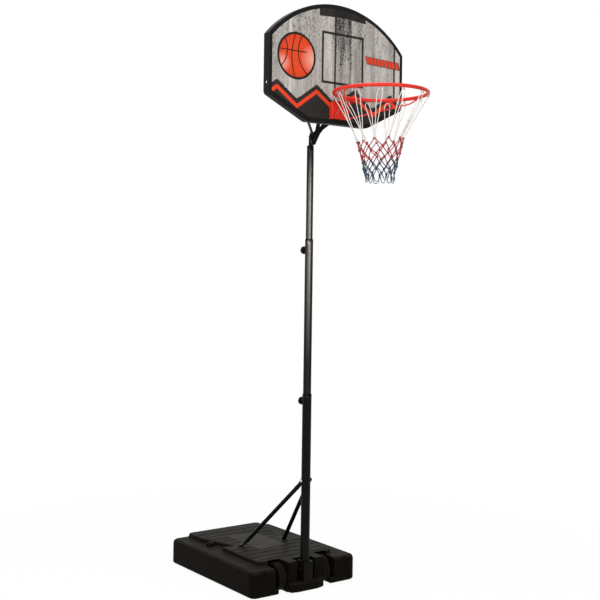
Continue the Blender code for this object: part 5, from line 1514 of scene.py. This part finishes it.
def make_head_screw(zinc):
    """Slotted pan screw that holds the head in the upper tube."""
    start, end = ends_along("head_screw", Y_AXIS)
    seat = TUBE_R["pole_upper"] + GAP - start.y
    total = end.y - start.y
    profile = ((0.0022, 0.0), (0.0025, 0.0006), (0.0025, seat), (0.0050, seat), (0.0050, seat + 0.0006),
               (0.0044, seat + 0.0017), (0.0030, total - 0.0002), (0.0012, total))
    screw = raw_object("head_screw_pan", turned(profile, start, Y_AXIS, 32))
    slot = block((-0.0005, end.y - 0.0010, start.z - 0.006), (0.0005, end.y + 0.01, start.z + 0.006))
    combine(screw, slot, "DIFFERENCE")
    finish_piece(screw, zinc, "zinc_steel", "head_screw", sharp=30)


def make_fasteners(sizes, colours):
    """Hexagon bolts, nuts and screws."""
    zinc = zinc_plate("fastener_zinc")
    black = powder_coat("fastener_black", colours.frame, 0.34, specular=0.3)
    red = red_coat("fastener_red", colours, 0.36)

    def fasten(node, shape):
        """Finish a fastener in its own coat."""
        finish = zinc if node.startswith(("post_", "rim_nut", "brace_bolt")) else black
        painted = node.startswith(("sleeve_bolt", "sleeve_nut", "rim_bolt"))
        piece(node + "_hex", shape, red if node in RIM_BOLTS else finish,
              "frame_paint" if painted else "zinc_steel", node, sharp=28)

    for along, nodes in BOLTS:
        for node in nodes:
            start, end = ends_along(node, along)
            seat = start + along * HEX_HEIGHT
            total = (end - seat).length
            shape = bmesh.new()
            hex_head(shape, seat, -along)
            fasten(node, threaded(shape, seat, along, total, min(total, THREAD_LENGTH)))
    for along, nodes in NUTS:
        for node in nodes:
            fasten(node, nut_shape(*ends_along(node, along), along))
    make_head_screw(zinc)


# Studio

SENSOR_WIDTH = 36.0


def area_lamp(name, place, aim, size, energy, colour):
    """Soft rectangular lamp that points at its aim."""
    lamp = bpy.data.lights.new(name, "AREA")
    lamp.shape = "RECTANGLE"
    lamp.size, lamp.size_y = size
    lamp.energy = energy
    lamp.color = colour
    obj = bpy.data.objects.new(name, lamp)
    obj.location = place
    obj.rotation_euler = (Vector(aim) - Vector(place)).to_track_quat("-Z", "Y").to_euler()
    bpy.context.scene.collection.objects.link(obj)


def make_camera(studio):
    """Camera in front of the stand, to its left."""
    scene = bpy.context.scene
    data = bpy.data.cameras.new("camera")
    data.lens, data.sensor_width, data.shift_y = studio.lens, SENSOR_WIDTH, studio.shift
    camera = bpy.data.objects.new("camera", data)
    scene.collection.objects.link(camera)
    forward = Vector((VIEW_X, VIEW_Y, 0.0)).normalized()
    turn = Matrix((forward.cross(Z_AXIS), Z_AXIS, -forward)).transposed().to_4x4()
    camera.matrix_world = Matrix.Translation(studio.place) @ turn @ Matrix.Rotation(studio.roll, 4, "Z")
    scene.camera = camera


def seen_rays(tree):
    """1 for rays that show the surroundings: camera, glossy and transmission rays."""
    path = add_node(tree, "LightPath", {})
    rays = Field(tree, path.outputs["Is Camera Ray"])
    for name in ("Is Glossy Ray", "Is Transmission Ray"):
        rays = rays.most(Field(tree, path.outputs[name]))
    return rays


def blend_to_white(tree, share, own, kind, output):
    """Send to an output a blend of its own shader and plain white."""
    white = add_node(tree, kind, {"Color": (1.0, 1.0, 1.0, 1.0), "Strength": 1.0})
    blend = add_node(tree, "MixShader", {0: share, 1: own.outputs[0], 2: white.outputs[0]})
    tree.links.new(blend.outputs[0], tree.nodes[output].inputs["Surface"])


def make_surroundings(strength):
    """Soft white light from all round, seen as plain white."""
    world = bpy.data.worlds.new("surroundings")
    bpy.context.scene.world = world
    world.use_nodes = True
    tree = world.node_tree
    soft = tree.nodes["Background"]
    soft.inputs["Color"].default_value = (1.0, 1.0, 1.0, 1.0)
    soft.inputs["Strength"].default_value = strength
    blend_to_white(tree, seen_rays(tree), soft, "Background", "World Output")


def floor_material(colour):
    """Pale floor that takes the shadow and melts into the white surroundings."""
    f = Finish("studio_floor", colour, 0.85, specular=0.1)
    f.bump(f.noise(40.0), 0.0002, 0.2)
    far = distance(f.axis(0), f.axis(1) - 0.3)
    share = seen_rays(f.tree) * far.ramp(0.5, 2.2, 0.90, 1.0)
    blend_to_white(f.tree, share, f.shader, "Emission", "Material Output")
    return f.material


def make_studio(studio):
    """Camera, lamps, surroundings and a pale floor that keeps the shadow."""
    bpy.context.scene.view_settings.view_transform = "Standard"
    make_camera(studio)
    area_lamp("key_lamp", (-3.3, -2.4, 3.7), (0, 0, 1.3), (2.6, 2.2), studio.key, (1.0, 0.955, 0.90))
    area_lamp("front_lamp", (-1.25, -4.75, 2.15), (0, 0, 1.7), (0.55, 1.3), studio.front, (1.0, 0.94, 0.87))
    area_lamp("top_lamp", (0.1, 0.5, 4.4), (0, 0.4, 0), (1.8, 1.8), studio.top, (1.0, 0.98, 0.96))
    make_surroundings(studio.fill)
    shape = bmesh.new()
    bmesh.ops.create_grid(shape, x_segments=24, y_segments=24, size=30.0)
    floor = raw_object("floor", shape)
    floor.data.materials.append(floor_material(studio.floor))


# Operators

class StandOperator:
    """What every operator of the stand shares."""
    bl_options = {"REGISTER", "UNDO"}

    def build(self, context, *makers):
        """Run some makers, each of which takes the scene's sizes and colours."""
        for make in makers:
            make(context.scene.stand_sizes, context.scene.stand_colours)
        return {"FINISHED"}


class STAND_OT_studio(StandOperator, bpy.types.Operator):
    """Set up the camera, the lamps and the floor"""
    bl_idname = "stand.studio"
    bl_label = "Studio"

    def execute(self, context):
        make_studio(context.scene.stand_studio)
        return {"FINISHED"}


class STAND_OT_tank(StandOperator, bpy.types.Operator):
    """Build the moulded ballast tank"""
    bl_idname = "stand.tank"
    bl_label = "Ballast tank"

    def execute(self, context):
        return self.build(context, make_tank)


class STAND_OT_wheels(StandOperator, bpy.types.Operator):
    """Build the wheels and their axle"""
    bl_idname = "stand.wheels"
    bl_label = "Wheels and axle"

    def execute(self, context):
        return self.build(context, make_wheels)


class STAND_OT_plug(StandOperator, bpy.types.Operator):
    """Build the filler plug"""
    bl_idname = "stand.plug"
    bl_label = "Filler plug"

    def execute(self, context):
        return self.build(context, make_plug)


class STAND_OT_sleeve(StandOperator, bpy.types.Operator):
    """Build the sleeve at the pole's foot"""
    bl_idname = "stand.sleeve"
    bl_label = "Foot sleeve"

    def execute(self, context):
        return self.build(context, make_sleeve)


class STAND_OT_pole(StandOperator, bpy.types.Operator):
    """Build the three tubes and their bushes"""
    bl_idname = "stand.pole"
    bl_label = "Pole tubes"

    def execute(self, context):
        return self.build(context, make_pole, make_bushes)


class STAND_OT_knobs(StandOperator, bpy.types.Operator):
    """Build the clamp knobs, studs and bosses"""
    bl_idname = "stand.knobs"
    bl_label = "Clamp knobs"

    def execute(self, context):
        return self.build(context, make_knobs)


class STAND_OT_braces(StandOperator, bpy.types.Operator):
    """Build the two back braces"""
    bl_idname = "stand.braces"
    bl_label = "Back braces"

    def execute(self, context):
        return self.build(context, make_braces)


class STAND_OT_arms(StandOperator, bpy.types.Operator):
    """Build the head plate and the four arms"""
    bl_idname = "stand.arms"
    bl_label = "Head plate and arms"

    def execute(self, context):
        return self.build(context, make_head, make_arms)


class STAND_OT_board(StandOperator, bpy.types.Operator):
    """Build the moulded board and its printed sheet"""
    bl_idname = "stand.board"
    bl_label = "Board"

    def execute(self, context):
        return self.build(context, make_board, make_sheet)


class STAND_OT_rim(StandOperator, bpy.types.Operator):
    """Build the ring, its bracket and its stays"""
    bl_idname = "stand.rim"
    bl_label = "Rim"

    def execute(self, context):
        return self.build(context, make_rim)


class STAND_OT_net(StandOperator, bpy.types.Operator):
    """Build the corded net"""
    bl_idname = "stand.net"
    bl_label = "Net"

    def execute(self, context):
        return self.build(context, make_net)


class STAND_OT_fasteners(StandOperator, bpy.types.Operator):
    """Build the bolts, nuts and screws"""
    bl_idname = "stand.fasteners"
    bl_label = "Fasteners"

    def execute(self, context):
        return self.build(context, make_fasteners)


OPERATORS = (
    STAND_OT_studio, STAND_OT_tank, STAND_OT_wheels, STAND_OT_plug, STAND_OT_sleeve, STAND_OT_pole,
    STAND_OT_knobs, STAND_OT_braces, STAND_OT_arms, STAND_OT_board, STAND_OT_rim, STAND_OT_net,
    STAND_OT_fasteners,
)


class STAND_PT_panel(bpy.types.Panel):
    """Lists the pieces of the stand and their settings"""
    bl_idname = "STAND_PT_panel"
    bl_label = "Basketball stand"
    bl_space_type = "VIEW_3D"
    bl_region_type = "UI"
    bl_category = "Stand"

    def draw(self, context):
        for operator in OPERATORS:
            self.layout.operator(operator.bl_idname)
        for group in (context.scene.stand_sizes, context.scene.stand_colours, context.scene.stand_studio):
            column = self.layout.column()
            for name in group.__annotations__:
                column.prop(group, name)


GROUPS = {"stand_sizes": StandSizes, "stand_colours": StandColours, "stand_studio": StandStudio}


def register():
    """Register the settings, the operators and the panel."""
    for name, group in GROUPS.items():
        bpy.utils.register_class(group)
        setattr(bpy.types.Scene, name, PointerProperty(type=group))
    for item in OPERATORS + (STAND_PT_panel,):
        bpy.utils.register_class(item)


def unregister():
    """Remove what register added."""
    for item in reversed(OPERATORS + (STAND_PT_panel,)):
        bpy.utils.unregister_class(item)
    for name, group in GROUPS.items():
        delattr(bpy.types.Scene, name)
        bpy.utils.unregister_class(group)


def main():
    """Register the add-on and build every piece."""
    register()
    for operator in OPERATORS:
        group, name = operator.bl_idname.split(".")
        getattr(getattr(bpy.ops, group), name)()


if __name__ == "__main__":
    main()
